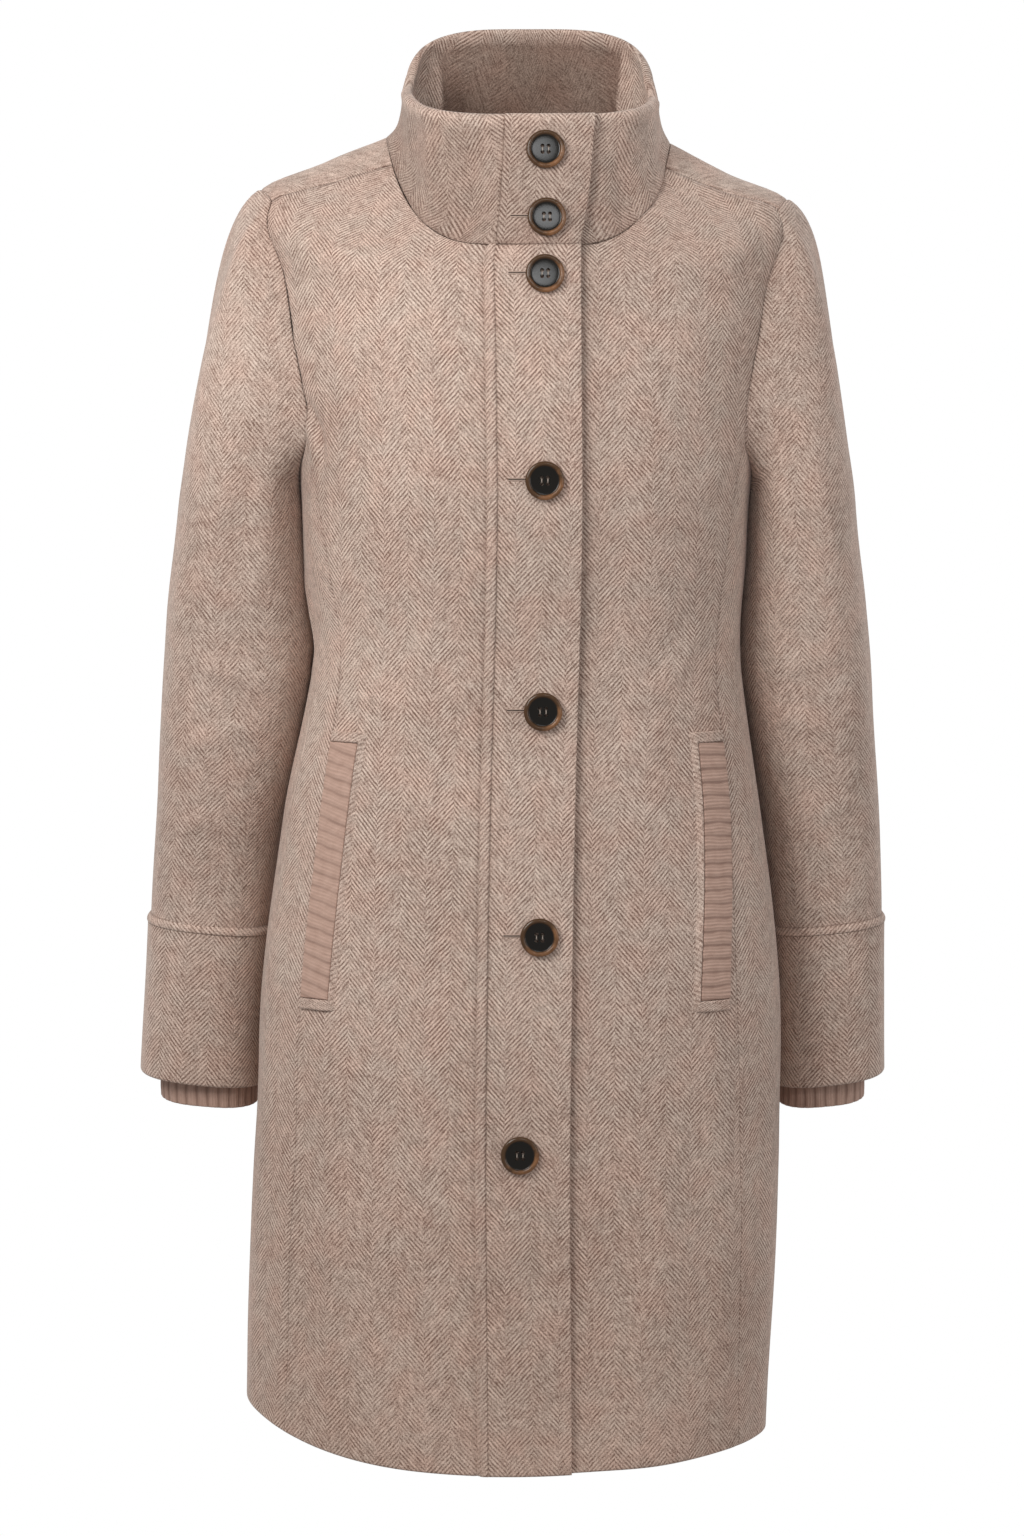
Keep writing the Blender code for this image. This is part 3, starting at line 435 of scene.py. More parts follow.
def between_rows(table, row):
    """Table values at fractional row numbers, on a smooth curve through the table's rows."""
    table = np.asarray(table, float)
    row = np.clip(np.asarray(row, float), 0, len(table) - 1)
    first = np.minimum(row.astype(int), len(table) - 2)
    padded = np.concatenate([[2 * table[0] - table[1]], table, [2 * table[-1] - table[-2]]])
    p0, p1, p2, p3 = (padded[first + step] for step in range(4))
    t = (row - first).reshape(row.shape + (1,) * (table.ndim - 1))
    return p1 + 0.5 * t * (p2 - p0 + t * (2 * p0 - 5 * p1 + 4 * p2 - p3 + t * (3 * (p1 - p2) + p3 - p0)))


def superellipse(turn, power):
    """Sine and cosine pushed out from a circle to a superellipse of that power."""
    sine, cosine = np.sin(turn), np.cos(turn)
    stretch = (np.abs(sine) ** power + np.abs(cosine) ** power) ** (-1 / power)
    return sine * stretch, cosine * stretch


def ring_points(rings, row, angle):
    """Points on rings: the angle is in degrees from the centre front, positive to the wearer's left."""
    ring = dict(zip(RING_COLUMNS, np.moveaxis(between_rows(rings, row), -1, 0)))
    turn = np.radians(angle)
    across, ahead = superellipse(turn, ring["squareness"])
    depth = np.where(ahead > 0, ring["front_depth"], ring["back_depth"])
    side_z = (ring["right_z"] + ring["left_z"]) / 2 + (ring["left_z"] - ring["right_z"]) / 2 * np.sin(turn)
    end_z = np.where(ahead > 0, ring["front_z"], ring["back_z"])
    share = np.abs(np.cos(turn))
    z = side_z + (end_z - side_z) * share * share * (1 + 2 * (1 - share) * ring["level_ends"])
    y = ring["side_y"] - (depth + np.where(ahead > 0, 1, -1) * ring["side_y"]) * ahead
    return np.stack([ring["centre_x"] + ring["half_width"] * across, y, z], axis=-1)


def no_folds(row, angle):
    return np.zeros(row.shape)


def body_folds(row, angle):
    """How far the skirt's soft folds and the shoulders' tips stand out."""
    away = (angle + 180) % 360 - 180
    fill = np.where(away < 0, TIP_FILL["right"], TIP_FILL["left"])
    near = ((row - TIP_ROW) / TIP_ROWS) ** 2 + ((np.abs(away) - TIP_ANGLE) / TIP_ANGLES) ** 2
    out = fill * np.exp(-near)
    for fold_angle, spread, height, top_row in SKIRT_FOLDS:
        away = (angle - fold_angle + 180) % 360 - 180
        fade = np.clip(1 - row / top_row, 0, 1) ** FOLD_FADE
        out = out + height * bell(away / spread) * fade
    return out


def crossing(value_at, low, high, shape):
    """The places between low and high where a function of an array changes sign."""
    low, high = np.full(shape, float(low)), np.full(shape, float(high))
    starts_below = value_at(low) < 0
    for _ in range(CROSSING_STEPS):
        middle = (low + high) / 2
        before = (value_at(middle) < 0) == starts_below
        low, high = np.where(before, middle, low), np.where(before, high, middle)
    return middle


class Surface:
    """A surface with rows along it and angles in degrees round it. Facing is -1 if those would turn it in."""

    row_step, angle_step = 0.02, 0.5

    def __init__(self, bare, facing=1, folds=no_folds):
        self.bare, self.facing, self.folds = bare, facing, folds

    def normal(self, row, angle):
        up = self.bare(row + self.row_step, angle) - self.bare(row - self.row_step, angle)
        along = self.bare(row, angle + self.angle_step) - self.bare(row, angle - self.angle_step)
        return unit(self.facing * np.cross(along, up))

    def at(self, row, angle, out=0.0):
        """Points of the surface, moved out by that distance."""
        row, angle, out = np.broadcast_arrays(*(np.asarray(value, float) for value in (row, angle, out)))
        reach = out + self.folds(row, angle)
        return self.bare(row, angle) + self.normal(row, angle) * reach[..., None]

    def angle_past(self, row, angle, distance):
        """The angle that far round a row from an angle."""
        row, angle = np.broadcast_arrays(np.asarray(row, float), np.asarray(angle, float))
        two_degrees = np.linalg.norm(self.bare(row, angle + 1) - self.bare(row, angle - 1), axis=-1)
        return angle + distance * 2 / two_degrees

    def row_past(self, row, angle, distance):
        """The row that far along an angle from a row."""
        low, high = row - self.row_step, row + self.row_step
        metres_a_row = np.linalg.norm(self.bare(high, angle) - self.bare(low, angle), axis=-1) / (high - low)
        return row + distance / metres_a_row

    def front_angle(self, row, x):
        """The angle on the front where a row passes a place across."""
        row, x = np.broadcast_arrays(np.asarray(row, float), np.asarray(x, float))
        return crossing(lambda angle: self.bare(row, angle)[..., 0] - x, -FRONT_REACH, FRONT_REACH, row.shape)

    def row_at_height(self, angle, z, last_row):
        angle = np.asarray(angle, float)
        return crossing(lambda row: self.bare(row, angle)[..., 2] - z, 0, last_row, angle.shape)


def armhole(turn):
    """Row and angle of the armhole seam, at a turn in degrees from its top, over the front."""
    looped = ARMHOLE_SEAM[-2:] + ARMHOLE_SEAM + ARMHOLE_SEAM[:3]
    place = between_rows(looped, np.asarray(turn, float) % 360 / 360 * len(ARMHOLE_SEAM) + 2)
    return place[..., 0], place[..., 1]


def sleeve_points(side, row, turn):
    """Points on a sleeve: the turn is in degrees from its outer side, over the front."""
    row, turn = np.broadcast_arrays(np.asarray(row, float), np.asarray(turn, float))
    facing = SIDES[side]
    round_front, outwards = superellipse(np.radians(turn), SLEEVE_SQUARENESS)
    section_row = np.clip(row - 1, 0, len(SLEEVE_SECTIONS) - 1)
    section = dict(zip(SLEEVE_COLUMNS, np.moveaxis(between_rows(SLEEVE_SECTIONS, section_row), -1, 0)))
    inner, outer = section[f"{side}_inner"], section[f"{side}_outer"]
    lower = np.stack([
        facing * ((inner + outer) / 2 + (outer - inner) / 2 * outwards),
        section["y"] - section["half_fore"] * round_front,
        section["z"] + section["rise"] * outwards,
    ], axis=-1)

    seam_row, seam_angle = armhole(turn)
    upper, ahead = np.cos(np.radians(turn)), np.sin(np.radians(turn))
    over = np.cos(np.radians(turn + CAP_OVERLAP_TURN))
    over = smooth((over - CAP_OVERLAP_FROM) / CAP_OVERLAP_FADE)
    start = BODY.at(seam_row + CAP_OVERLAP * over, facing * seam_angle, CAP_RISE * over)
    out, down = CAP_OUT + CAP_OUT_AT_TOP * upper, CAP_DOWN + CAP_DOWN_AT_TOP * upper
    leaving = np.stack([facing * out, -CAP_FORWARD * ahead, -down], axis=-1)
    arriving = np.stack([facing * BICEPS_FLARE * upper, 0 * upper, -1 + 0 * upper], axis=-1)
    share = ((1 + upper) / 2)[..., None]
    below = smooth((-upper - UNDERARM_FROM) / UNDERARM_FADE)
    gap = blend(ARMHOLE_GAP, UNDERARM_GAP, below) * (1 - over)
    start = start + leaving * gap[..., None]
    first_pull = start + leaving * blend(UNDERARM_PULL, CAP_FIRST_PULL, share)
    last_pull = lower - arriving * blend(UNDERARM_PULL, CAP_LAST_PULL, share)
    t = np.clip(row, 0, 1)[..., None]
    near = (1 - t) ** 2 * ((1 - t) * start + 3 * t * first_pull)
    cap = near + t ** 2 * (3 * (1 - t) * last_pull + t * lower)
    return np.where((row < 1)[..., None], cap, lower)


BODY = Surface(lambda row, angle: ring_points(BODY_RINGS, row, angle), folds=body_folds)
COLLAR = Surface(lambda row, angle: ring_points(COLLAR_RINGS, row, angle))
SLEEVES = {
    side: Surface(lambda row, turn, side=side: sleeve_points(side, row, turn), facing=facing)
    for side, facing in SIDES.items()
}


def long_seam_angle(seam, row):
    return between_rows(seam, row / SEAM_TOP_ROW * (len(seam) - 1))


def panel_side_angle(row, seam):
    """The angles of a front or back panel's side: its long seam, then the armhole, then the shoulder seam."""
    first, last = (180.0, 360.0) if seam is BACK_SEAM else (0.0, 180.0)
    at_armhole = np.clip(row, SEAM_TOP_ROW, SHOULDER_ROW)
    turn = crossing(lambda turn: armhole(turn)[0] - at_armhole, first, last - LAST_TURN, row.shape)
    upper = np.where(row < SHOULDER_ROW, armhole(turn)[1], between_rows(SHOULDER_SEAM, row - SHOULDER_ROW))
    return np.where(row <= SEAM_TOP_ROW, long_seam_angle(seam, row), upper)


def placket_angles(row):
    """The angles of the placket's seam and of its edge."""
    heights, places = zip(*PLACKET_EDGE)
    z = BODY.bare(row, np.full(row.shape, PLACKET_GUIDE))[..., 2]
    edge_x = np.mean([np.interp(z + ease, heights, places) for ease in PLACKET_EASE], axis=0)
    edge = BODY.front_angle(row, edge_x)
    return BODY.angle_past(row, edge, -PLACKET_WIDTH), edge


def tab_angles(row):
    """The angles of the collar tab's seam and of its edge."""
    rise = row / COLLAR_TOP_ROW
    return [COLLAR.front_angle(row, blend(*ends, rise)) for ends in (TAB_SEAM_X, TAB_EDGE_X)]


def band(edge):
    """Distances from an edge that follow its rounding."""
    return ROLL_SHARES * edge.roll


def spaced(length, step, low_band, high_band):
    """Distances along a length at about that step, closer at both ends."""
    count = max(2, math.ceil((length - low_band[-1] - high_band[-1]) / step) + 1)
    middle = np.linspace(low_band[-1], length - high_band[-1], count)[1:-1]
    return np.concatenate([low_band, middle, length - high_band[::-1]])


def rows_along(surface, angle, low, high, step, low_band, high_band):
    """Rows from low to high at even distances along an angle, closer at both ends."""
    fine = np.linspace(low, high, PATH_STEPS)
    points = surface.bare(fine, np.full(PATH_STEPS, float(angle)))
    travelled = np.concatenate([[0], np.cumsum(np.linalg.norm(np.diff(points, axis=0), axis=-1))])
    return np.interp(spaced(travelled[-1], step, low_band, high_band), travelled, fine)


def columns_between(surface, rows, first, last, step, first_band, last_band):
    """Angles from first to last on each row at about that step, with set distances near both ends."""
    rows = rows[:, None]
    near_first = surface.angle_past(rows, np.reshape(first, (-1, 1)), first_band)
    near_last = surface.angle_past(rows, np.reshape(last, (-1, 1)), -last_band[::-1])
    low, high = near_first[:, -1:], near_last[:, :1]
    steps = np.linspace(low, high, WIDTH_STEPS, axis=-1)[:, 0]
    width = np.linalg.norm(np.diff(surface.bare(np.broadcast_to(rows, steps.shape), steps), axis=1), axis=-1)
    shares = np.linspace(0, 1, max(2, math.ceil(width.sum(axis=1).max() / step) + 1))[1:-1]
    return np.concatenate([near_first, blend(low, high, shares), near_last], axis=1)


def edge_distances(points, axis):
    """Distances of grid points from both ends of their lines along an axis."""
    steps = np.linalg.norm(np.diff(points, axis=axis), axis=-1)
    start = np.zeros_like(np.take(steps, [0], axis=axis))
    travelled = np.concatenate([start, np.cumsum(steps, axis=axis)], axis=axis)
    return travelled, np.take(travelled, [-1], axis=axis) - travelled


class Patch:
    """A grid of places on a surface, with the distance of each from the patch's four edges."""

    def __init__(self, surface, rows, angles, proud=0.0):
        if np.ndim(rows) == 1:
            rows = rows[:, None]
        self.surface = surface
        self.rows, self.angles = np.broadcast_arrays(rows, angles)
        self.base = surface.at(self.rows, self.angles, proud)
        self.outwards = surface.normal(self.rows, self.angles)
        self.first, self.last = edge_distances(self.base, 1)
        self.low, self.high = edge_distances(self.base, 0)
        self.level = edge_distances(self.base * (1, 1, 0), 1)[0]

    def across(self, angles, level=True):
        """Distances along each row from its angle, or from one for all, level ones or along the cloth."""
        travelled = self.level if level else self.first
        turned = np.sign(self.angles[0, -1] - self.angles[0, 0])
        angles = np.broadcast_to(angles, len(travelled))
        starts = [np.interp(turned * angle, turned * line, distance)
                  for angle, line, distance in zip(angles, self.angles, travelled)]
        return turned * (travelled - np.array(starts)[:, None])

    def along(self, row):
        """Distances up each column from a row on it, without its drift to the side."""
        turned = np.sign(self.rows[-1, 0] - self.rows[0, 0])
        beside = np.gradient(self.base, axis=1) * (1, 1, 0)
        beside = unit(beside[1:] + beside[:-1])
        steps = np.diff(self.base, axis=0)
        steps = steps - (steps * beside).sum(axis=-1, keepdims=True) * beside
        travelled = np.cumsum(np.linalg.norm(steps, axis=-1), axis=0)
        travelled = np.concatenate([np.zeros_like(travelled[:1]), travelled])
        starts = [np.interp(turned * row, turned * line, distance)
                  for line, distance in zip(self.rows.T, travelled.T)]
        return turned * (travelled - np.array(starts)[None, :])

    def uneven(self, size):
        """A smooth random value from about -1 to 1 at each place, with waves of about that size."""
        points = (self.base / size).reshape(-1, 3).tolist()
        return np.array([noise.noise(point) for point in points]).reshape(self.rows.shape)

    def creases(self, table, metres_a_degree):
        """The summed height of the creases in a table, each with a softer hollow along one side."""
        out = np.zeros(self.rows.shape)
        z = self.base[..., 2]
        for first_angle, first_z, last_angle, last_z, spread, height in table:
            middle = (first_angle + last_angle) / 2
            x = ((self.angles - middle + 180) % 360 - 180) * metres_a_degree
            first_x, last_x = ((angle - middle) * metres_a_degree for angle in (first_angle, last_angle))
            run, rise = last_x - first_x, last_z - first_z
            length = math.hypot(run, rise)
            share = ((x - first_x) * run + (z - first_z) * rise) / length ** 2
            aside = ((x - first_x) * rise - (z - first_z) * run) / length / spread
            aside = aside + CREASE_SWAY * np.sin(CREASE_SWAY_RATE * share + CREASE_SWAY_SHIFT * first_z)
            fade = smooth((share + CREASE_END) / (2 * CREASE_END))
            fade = fade * smooth((1 + CREASE_END - share) / (2 * CREASE_END))
            hollow = bell((aside - CREASE_SIDE) / CREASE_SIDE_SPREAD)
            out = out + height * fade * (bell(aside) - CREASE_SIDE_HEIGHT * hollow)
        return out

    def puckers(self, *distances):
        """Small waves beside seams at those distances."""
        near = np.exp(-np.minimum.reduce(distances) / PUCKER_REACH)
        return PUCKER_HEIGHT * near * self.uneven(PUCKER_SIZE)


def rolled(distance, roll):
    """From 1 at an edge to 0 where its rounding ends, on a quarter circle."""
    left = 1 - np.clip(distance / roll, 0, 1)
    return 1 - np.sqrt(1 - left * left)


def shell_mesh(name, outer, inner, flip, weave, shares):
    """A closed mesh of an outer and an inner grid that share their border, with its two UV maps."""
    rows, columns = outer.shape[:2]
    outside = np.arange(rows * columns).reshape(rows, columns)
    inside = outside.copy()
    inside[1:-1, 1:-1] = np.arange((rows - 2) * (columns - 2)).reshape(rows - 2, columns - 2) + rows * columns

    def quads(index):
        corners = (index[:-1, :-1], index[:-1, 1:], index[1:, 1:], index[1:, :-1])
        return np.stack(corners, axis=-1).reshape(-1, 4)

    turn = -1 if flip else 1
    outer_faces, inner_faces = quads(outside)[:, ::turn], quads(inside)[:, ::-turn]
    points = np.concatenate([outer.reshape(-1, 3), inner[1:-1, 1:-1].reshape(-1, 3)])
    mesh = bpy.data.meshes.new(name)
    mesh.from_pydata(points.tolist(), [], np.concatenate([outer_faces, inner_faces]).tolist())
    mesh.shade_smooth()
    corner_of = np.concatenate([outer_faces.ravel(), quads(outside)[:, ::-turn].ravel()])
    weave, shares = (np.stack(grids, axis=-1).reshape(-1, 2)[corner_of] for grids in (weave, shares))
    is_inside = np.arange(len(corner_of)) >= outer_faces.size
    starts = np.where(is_inside, *BAKE_STARTS)
    bake = shares * BAKE_SIZE + np.stack([starts, np.full(len(starts), BAKE_LOW)], axis=-1)
    for map_name, places in (("weave", weave), ("OFBake", bake)):
        mesh.uv_layers.new(name=map_name).uv.foreach_set("vector", places.astype(np.float32).ravel())
    return mesh


def linked(name, data):
    made = bpy.data.objects.new(name, data)
    bpy.context.scene.collection.objects.link(made)
    return made


def add_piece(name, mesh, nodes, finish, placed=None):
    piece = linked(name, mesh)
    if placed is not None:
        piece.matrix_world = placed
    mesh.materials.append(finish)
    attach(piece, "root")
    if nodes:
        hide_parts(*nodes)
    return piece


def sew(node, patch, wall, edges, weave, relief=0.0, slot="wool", depth=0.0, inside_painted_shade=None):
    """One cloth piece from a patch, with edges along its low, high, first and last sides."""
    drop, closed, lines = (np.zeros(patch.rows.shape) for _ in range(3))
    # Each edge paints a dark seam shadow along itself, into the depth attribute
    for distance, edge in zip((patch.low, patch.high, patch.first, patch.last), edges):
        near = rolled(distance, edge.roll)
        drop = np.maximum(drop, edge.drop * near)
        closed = np.maximum(closed, near)
        lines = np.maximum(lines, edge.shade * bell(distance / SEAM_SHADOW_WIDTH))
    reach = relief - drop
    outer = patch.base + patch.outwards * reach[..., None]
    inner = patch.base + patch.outwards * (reach - wall * (1 - closed))[..., None]
    middle = tuple(size // 2 for size in patch.rows.shape)
    along = patch.base[middle[0], middle[1] + 1] - patch.base[middle]
    up = patch.base[middle[0] + 1, middle[1]] - patch.base[middle]
    flip = np.cross(along, up) @ patch.outwards[middle] < 0
    shares = patch.first / (patch.first + patch.last), patch.low / (patch.low + patch.high)
    mesh = shell_mesh(f"{node}_cloth", outer, inner, flip, weave, shares)
    # The depth attribute is painted shade where positive, the seam shadows among it, and a plainer weave
    # where negative; the inside can have painted shade of its own
    inside = np.broadcast_to(depth if inside_painted_shade is None else inside_painted_shade, lines.shape)[1:-1, 1:-1]
    values = np.concatenate([(lines + depth).ravel(), inside.ravel()]).astype(np.float32)
    mesh.attributes.new("depth", "FLOAT", "POINT").data.foreach_set("value", values)
    sewn[node] = add_piece(f"{node}_cloth", mesh, [node], FINISHES[slot]), patch


def declare_sheets():
    """Goes through the pieces, leaving out the narrow welts, and does nothing with them."""
    carried = [welt for welts in WELTS_ON.values() for welt in welts]
    for node, (piece, patch) in sewn.items():
        if node in carried:
            continue


class Tree:
    """A material's node tree, with short calls for the nodes it is made of."""

    def __init__(self, name):
        self.material = bpy.data.materials.new(name)
        self.material.use_nodes = True
        self.nodes = self.material.node_tree.nodes
        self.links = self.material.node_tree.links
        self.shader = self.nodes["Principled BSDF"]

    def put(self, socket, value):
        if isinstance(value, bpy.types.NodeSocket):
            self.links.new(value, socket)
        else:
            socket.default_value = value

    def node(self, kind, values=(), **settings):
        made = self.nodes.new(kind)
        for name, setting in settings.items():
            setattr(made, name, setting)
        for name, value in dict(values).items():
            self.put(made.inputs[name], value)
        return made

    def maths(self, operation, *values):
        made = self.nodes.new("ShaderNodeMath")
        made.operation = operation
        for socket, value in zip(made.inputs, values):
            self.put(socket, value)
        return made.outputs[0]

    def noise(self, vector, scale, detail=2.0, roughness=EVEN_NOISE):
        values = {"Vector": vector, "Scale": scale, "Detail": detail, "Roughness": roughness}
        return self.node("ShaderNodeTexNoise", values).outputs["Fac"]

    def between(self, value, low, high, to_low=0.0, to_high=1.0):
        values = {"Value": value, "From Min": low, "From Max": high, "To Min": to_low, "To Max": to_high}
        return self.node("ShaderNodeMapRange", values, clamp=True).outputs["Result"]

    def mix(self, share, first, second, blend="MIX"):
        made = self.nodes.new("ShaderNodeMix")
        made.data_type, made.blend_type = "RGBA", blend
        for socket, value in zip((made.inputs[0], made.inputs[6], made.inputs[7]), (share, first, second)):
            self.put(socket, value)
        return made.outputs[2]

    def bump(self, height, strength, distance):
        values = {"Height": height, "Strength": strength, "Distance": distance}
        return self.node("ShaderNodeBump", values).outputs["Normal"]

    def finish(self, **values):
        for name, value in values.items():
            self.put(self.shader.inputs[name.replace("_", " ")], value)
        return self.material


def wool_finish():
    """Heathered herringbone: light and dark lines that turn back at each stripe, under a brushed nap."""
    tree = Tree("wool")
    place = tree.node("ShaderNodeTexCoord").outputs["Object"]
    weave = tree.node("ShaderNodeUVMap", uv_map="weave").outputs["UV"]
    split = tree.node("ShaderNodeSeparateXYZ", {"Vector": weave})
    u, v = (tree.maths("MULTIPLY_ADD", tree.noise(place, scale, 1.0), sway, split.outputs[axis])
            for axis, scale, sway in zip("XY", SWAY_SCALES, SWAYS))
    turned = tree.maths("PINGPONG", u, STRIPE)
    column = tree.maths("FLOOR", tree.maths("DIVIDE", u, STRIPE))
    half = tree.maths("MULTIPLY", tree.maths("MODULO", tree.maths("ABSOLUTE", column), 2.0), math.pi)
    slanted = tree.maths("MULTIPLY_ADD", turned, -SLOPE, v)
    phase = tree.maths("MULTIPLY_ADD", slanted, 2 * math.pi / LINE, half)
    line = tree.between(tree.maths("SINE", phase), *LINE_RAMP)
    along_line = {"X": tree.maths("DIVIDE", phase, 2 * math.pi), "Y": tree.maths("MULTIPLY", u, DASHES),
                  "Z": tree.maths("MULTIPLY", column, DASH_STEP)}
    dashes = tree.noise(tree.node("ShaderNodeCombineXYZ", along_line).outputs[0], 1.0, 2.0, ROUGH_NOISE)
    # The depth attribute: painted shade that darkens the colour where positive, a plainer weave where
    # negative
    shade = tree.node("ShaderNodeAttribute", attribute_name="depth").outputs["Fac"]
    worn_and_shaded = tree.between(tree.noise(place, WORN_SCALE), *WORN_RAMP)
    for ramp in (SHADED_RAMP, NAP_RAMP):
        worn_and_shaded = tree.maths("MULTIPLY", worn_and_shaded, tree.between(shade, *ramp))
    light = tree.maths("MULTIPLY_ADD", tree.maths("MULTIPLY", line, worn_and_shaded), LINE_CONTRAST, 0.5)
    fibres = tree.noise(place, FIBRE_SCALE, 2.0, ROUGH_NOISE)
    broad, blotches = tree.noise(place, BROAD_SCALE), tree.noise(place, BLOTCH_SCALE, 3.0, ROUGH_NOISE)
    patterns = fibres, dashes, broad, blotches
    for pattern, contrast in zip(patterns, (FIBRE_CONTRAST, DASH_CONTRAST, BROAD_CONTRAST, BLOTCH_CONTRAST)):
        light = tree.maths("MULTIPLY_ADD", tree.maths("SUBTRACT", pattern, 0.5), contrast, light)
    colour = tree.mix(tree.between(light, 0.0, 1.0), WOOL_DARK, WOOL_LIGHT)
    rosy = tree.between(tree.noise(place, ROSE_SCALE), *ROSE_RAMP)
    up = tree.node("ShaderNodeSeparateXYZ", {"Vector": place}).outputs["Z"]
    # Painted shade darker and rosier towards the hem, then the painted shade of the depth attribute
    at_hem = tree.between(up, *HEM_SHADE_RAMP)
    for share, tint in ((rosy, WOOL_ROSE), (at_hem, HEM_SHADE_TINT), (shade, PAINTED_SHADE)):
        colour = tree.mix(share, colour, tint, "MULTIPLY")
    height = tree.maths("ADD", tree.maths("MULTIPLY_ADD", line, WOOL_LINE_BUMP, fibres), dashes)
    return tree.finish(Base_Color=colour, Roughness=0.95, Specular_IOR_Level=0.15, Sheen_Weight=0.35,
                       Sheen_Roughness=0.45, Sheen_Tint=(0.95, 0.86, 0.80, 1),
                       Normal=tree.bump(height, *WOOL_BUMP))


def knit_finish():
    """Rose-brown knit, with painted shade down in its grooves."""
    tree = Tree("rib_knit")
    weave = tree.node("ShaderNodeUVMap", uv_map="weave").outputs["UV"]
    depth = tree.node("ShaderNodeAttribute", attribute_name="depth").outputs["Fac"]
    fibres = tree.noise(weave, KNIT_FIBRE_SCALE, 2.0, ROUGH_NOISE)
    patches = tree.noise(weave, KNIT_PATCH_SCALE)
    uneven = tree.between(tree.maths("ADD", fibres, patches), *KNIT_RAMP)
    colour = tree.mix(uneven, KNIT_DARK, KNIT_LIGHT)
    colour = tree.mix(tree.between(depth, *KNIT_GROOVE_RAMP), colour, KNIT_GROOVE_SHADE)
    return tree.finish(Base_Color=colour, Roughness=0.95, Specular_IOR_Level=0.15, Sheen_Weight=0.25,
                       Sheen_Roughness=0.5, Sheen_Tint=(0.9, 0.78, 0.72, 1),
                       Normal=tree.bump(fibres, *KNIT_BUMP))


def horn_finish():
    """Polished dark horn: nearly black inside, streaked with amber round the rim, with a painted glow of
    light at its lower right.
    """
    tree = Tree("horn")
    place = tree.node("ShaderNodeTexCoord").outputs["Object"]
    where = tree.node("ShaderNodeObjectInfo").outputs["Location"]
    shifted = tree.node("ShaderNodeVectorMath", {0: place, 1: where}, operation="ADD").outputs["Vector"]
    split = tree.node("ShaderNodeSeparateXYZ", {"Vector": place})
    flat = tree.node("ShaderNodeCombineXYZ", {"X": split.outputs["X"], "Y": split.outputs["Y"]})
    radius = tree.node("ShaderNodeVectorMath", {0: flat.outputs[0]}, operation="LENGTH").outputs["Value"]
    rim = tree.between(radius, *HORN_RIM)
    streaks = tree.noise(shifted, HORN_STREAK_SCALE, 3.0, ROUGH_NOISE)
    streaks = tree.maths("MULTIPLY_ADD", streaks, HORN_STREAKS, HORN_STREAK_LEVEL)
    # Painted light: each rim glows more amber towards its lower right, on top of its random streaks
    right_and_low = tree.maths("SUBTRACT", split.outputs["X"], split.outputs["Y"])
    glow = tree.maths("MULTIPLY_ADD", right_and_low, HORN_GLOW_ASIDE, streaks)
    amber = tree.maths("MULTIPLY", tree.between(glow, *HORN_GLOW_RAMP), rim)
    colour = tree.mix(amber, tree.mix(rim, HORN_BLACK, HORN_BROWN), HORN_AMBER)
    return tree.finish(Base_Color=colour, Roughness=0.20, IOR=1.55, Specular_IOR_Level=0.32)


def plain_finish(name, colour, roughness):
    return Tree(name).finish(Base_Color=colour, Roughness=roughness, Specular_IOR_Level=0.2)


FINISHES = {"wool": wool_finish(), "rib_knit": knit_finish(), "horn": horn_finish()}
THREAD = plain_finish("thread", THREAD_COLOUR, roughness=0.8)
LIP = plain_finish("buttonhole_thread", LIP_COLOUR, roughness=0.9)
SLIT_SHADOW = plain_finish("buttonhole_slit_shadow", SLIT_SHADOW_COLOUR, roughness=0.95)


def waved(patch, creases, metres_a_degree):
    """The relief of the creases in a table and of the cloth's broad waves."""
    return patch.creases(creases, metres_a_degree) + WAVE_HEIGHT * patch.uneven(WAVE_SIZE)


def body_relief(patch, *seams):
    return waved(patch, BODY_CREASES, BODY_DEGREE) + patch.puckers(*seams)


def hem_wall(patch):
    """The cloth's thickness, more where the hem is turned up inside."""
    return CLOTH + HEM_EXTRA * smooth((HEM_HEIGHT - patch.low) / HEM_FADE)


def hem_nap(patch):
    """How plain the weave is: worn softer towards the hem."""
    return -HEM_NAP * smooth((HEM_NAP_Z - patch.base[..., 2]) / HEM_NAP_FADE)


def between_edges(first, second, share):
    return Edge(*(blend(*sizes, share) for sizes in zip(first, second)))


def long_seam(rows):
    """The edge at a panel's long seam, softer down the skirt."""
    return between_edges(LONG_SEAM, SKIRT_SEAM, smooth((SKIRT_SEAM_ROW - rows) / SKIRT_SEAM_ROWS))


def panel_side_seam(rows):
    """The edge at a front or back panel's side, deeper along the shoulder seam than along the armhole."""
    rows = rows[:, None]
    above = [np.where(rows > SHOULDER_ROW, *sizes) for sizes in zip(SHOULDER_EDGE, ARMHOLE_EDGE)]
    return Edge(*(np.where(rows > SEAM_TOP_ROW, *sizes) for sizes in zip(above, long_seam(rows))))


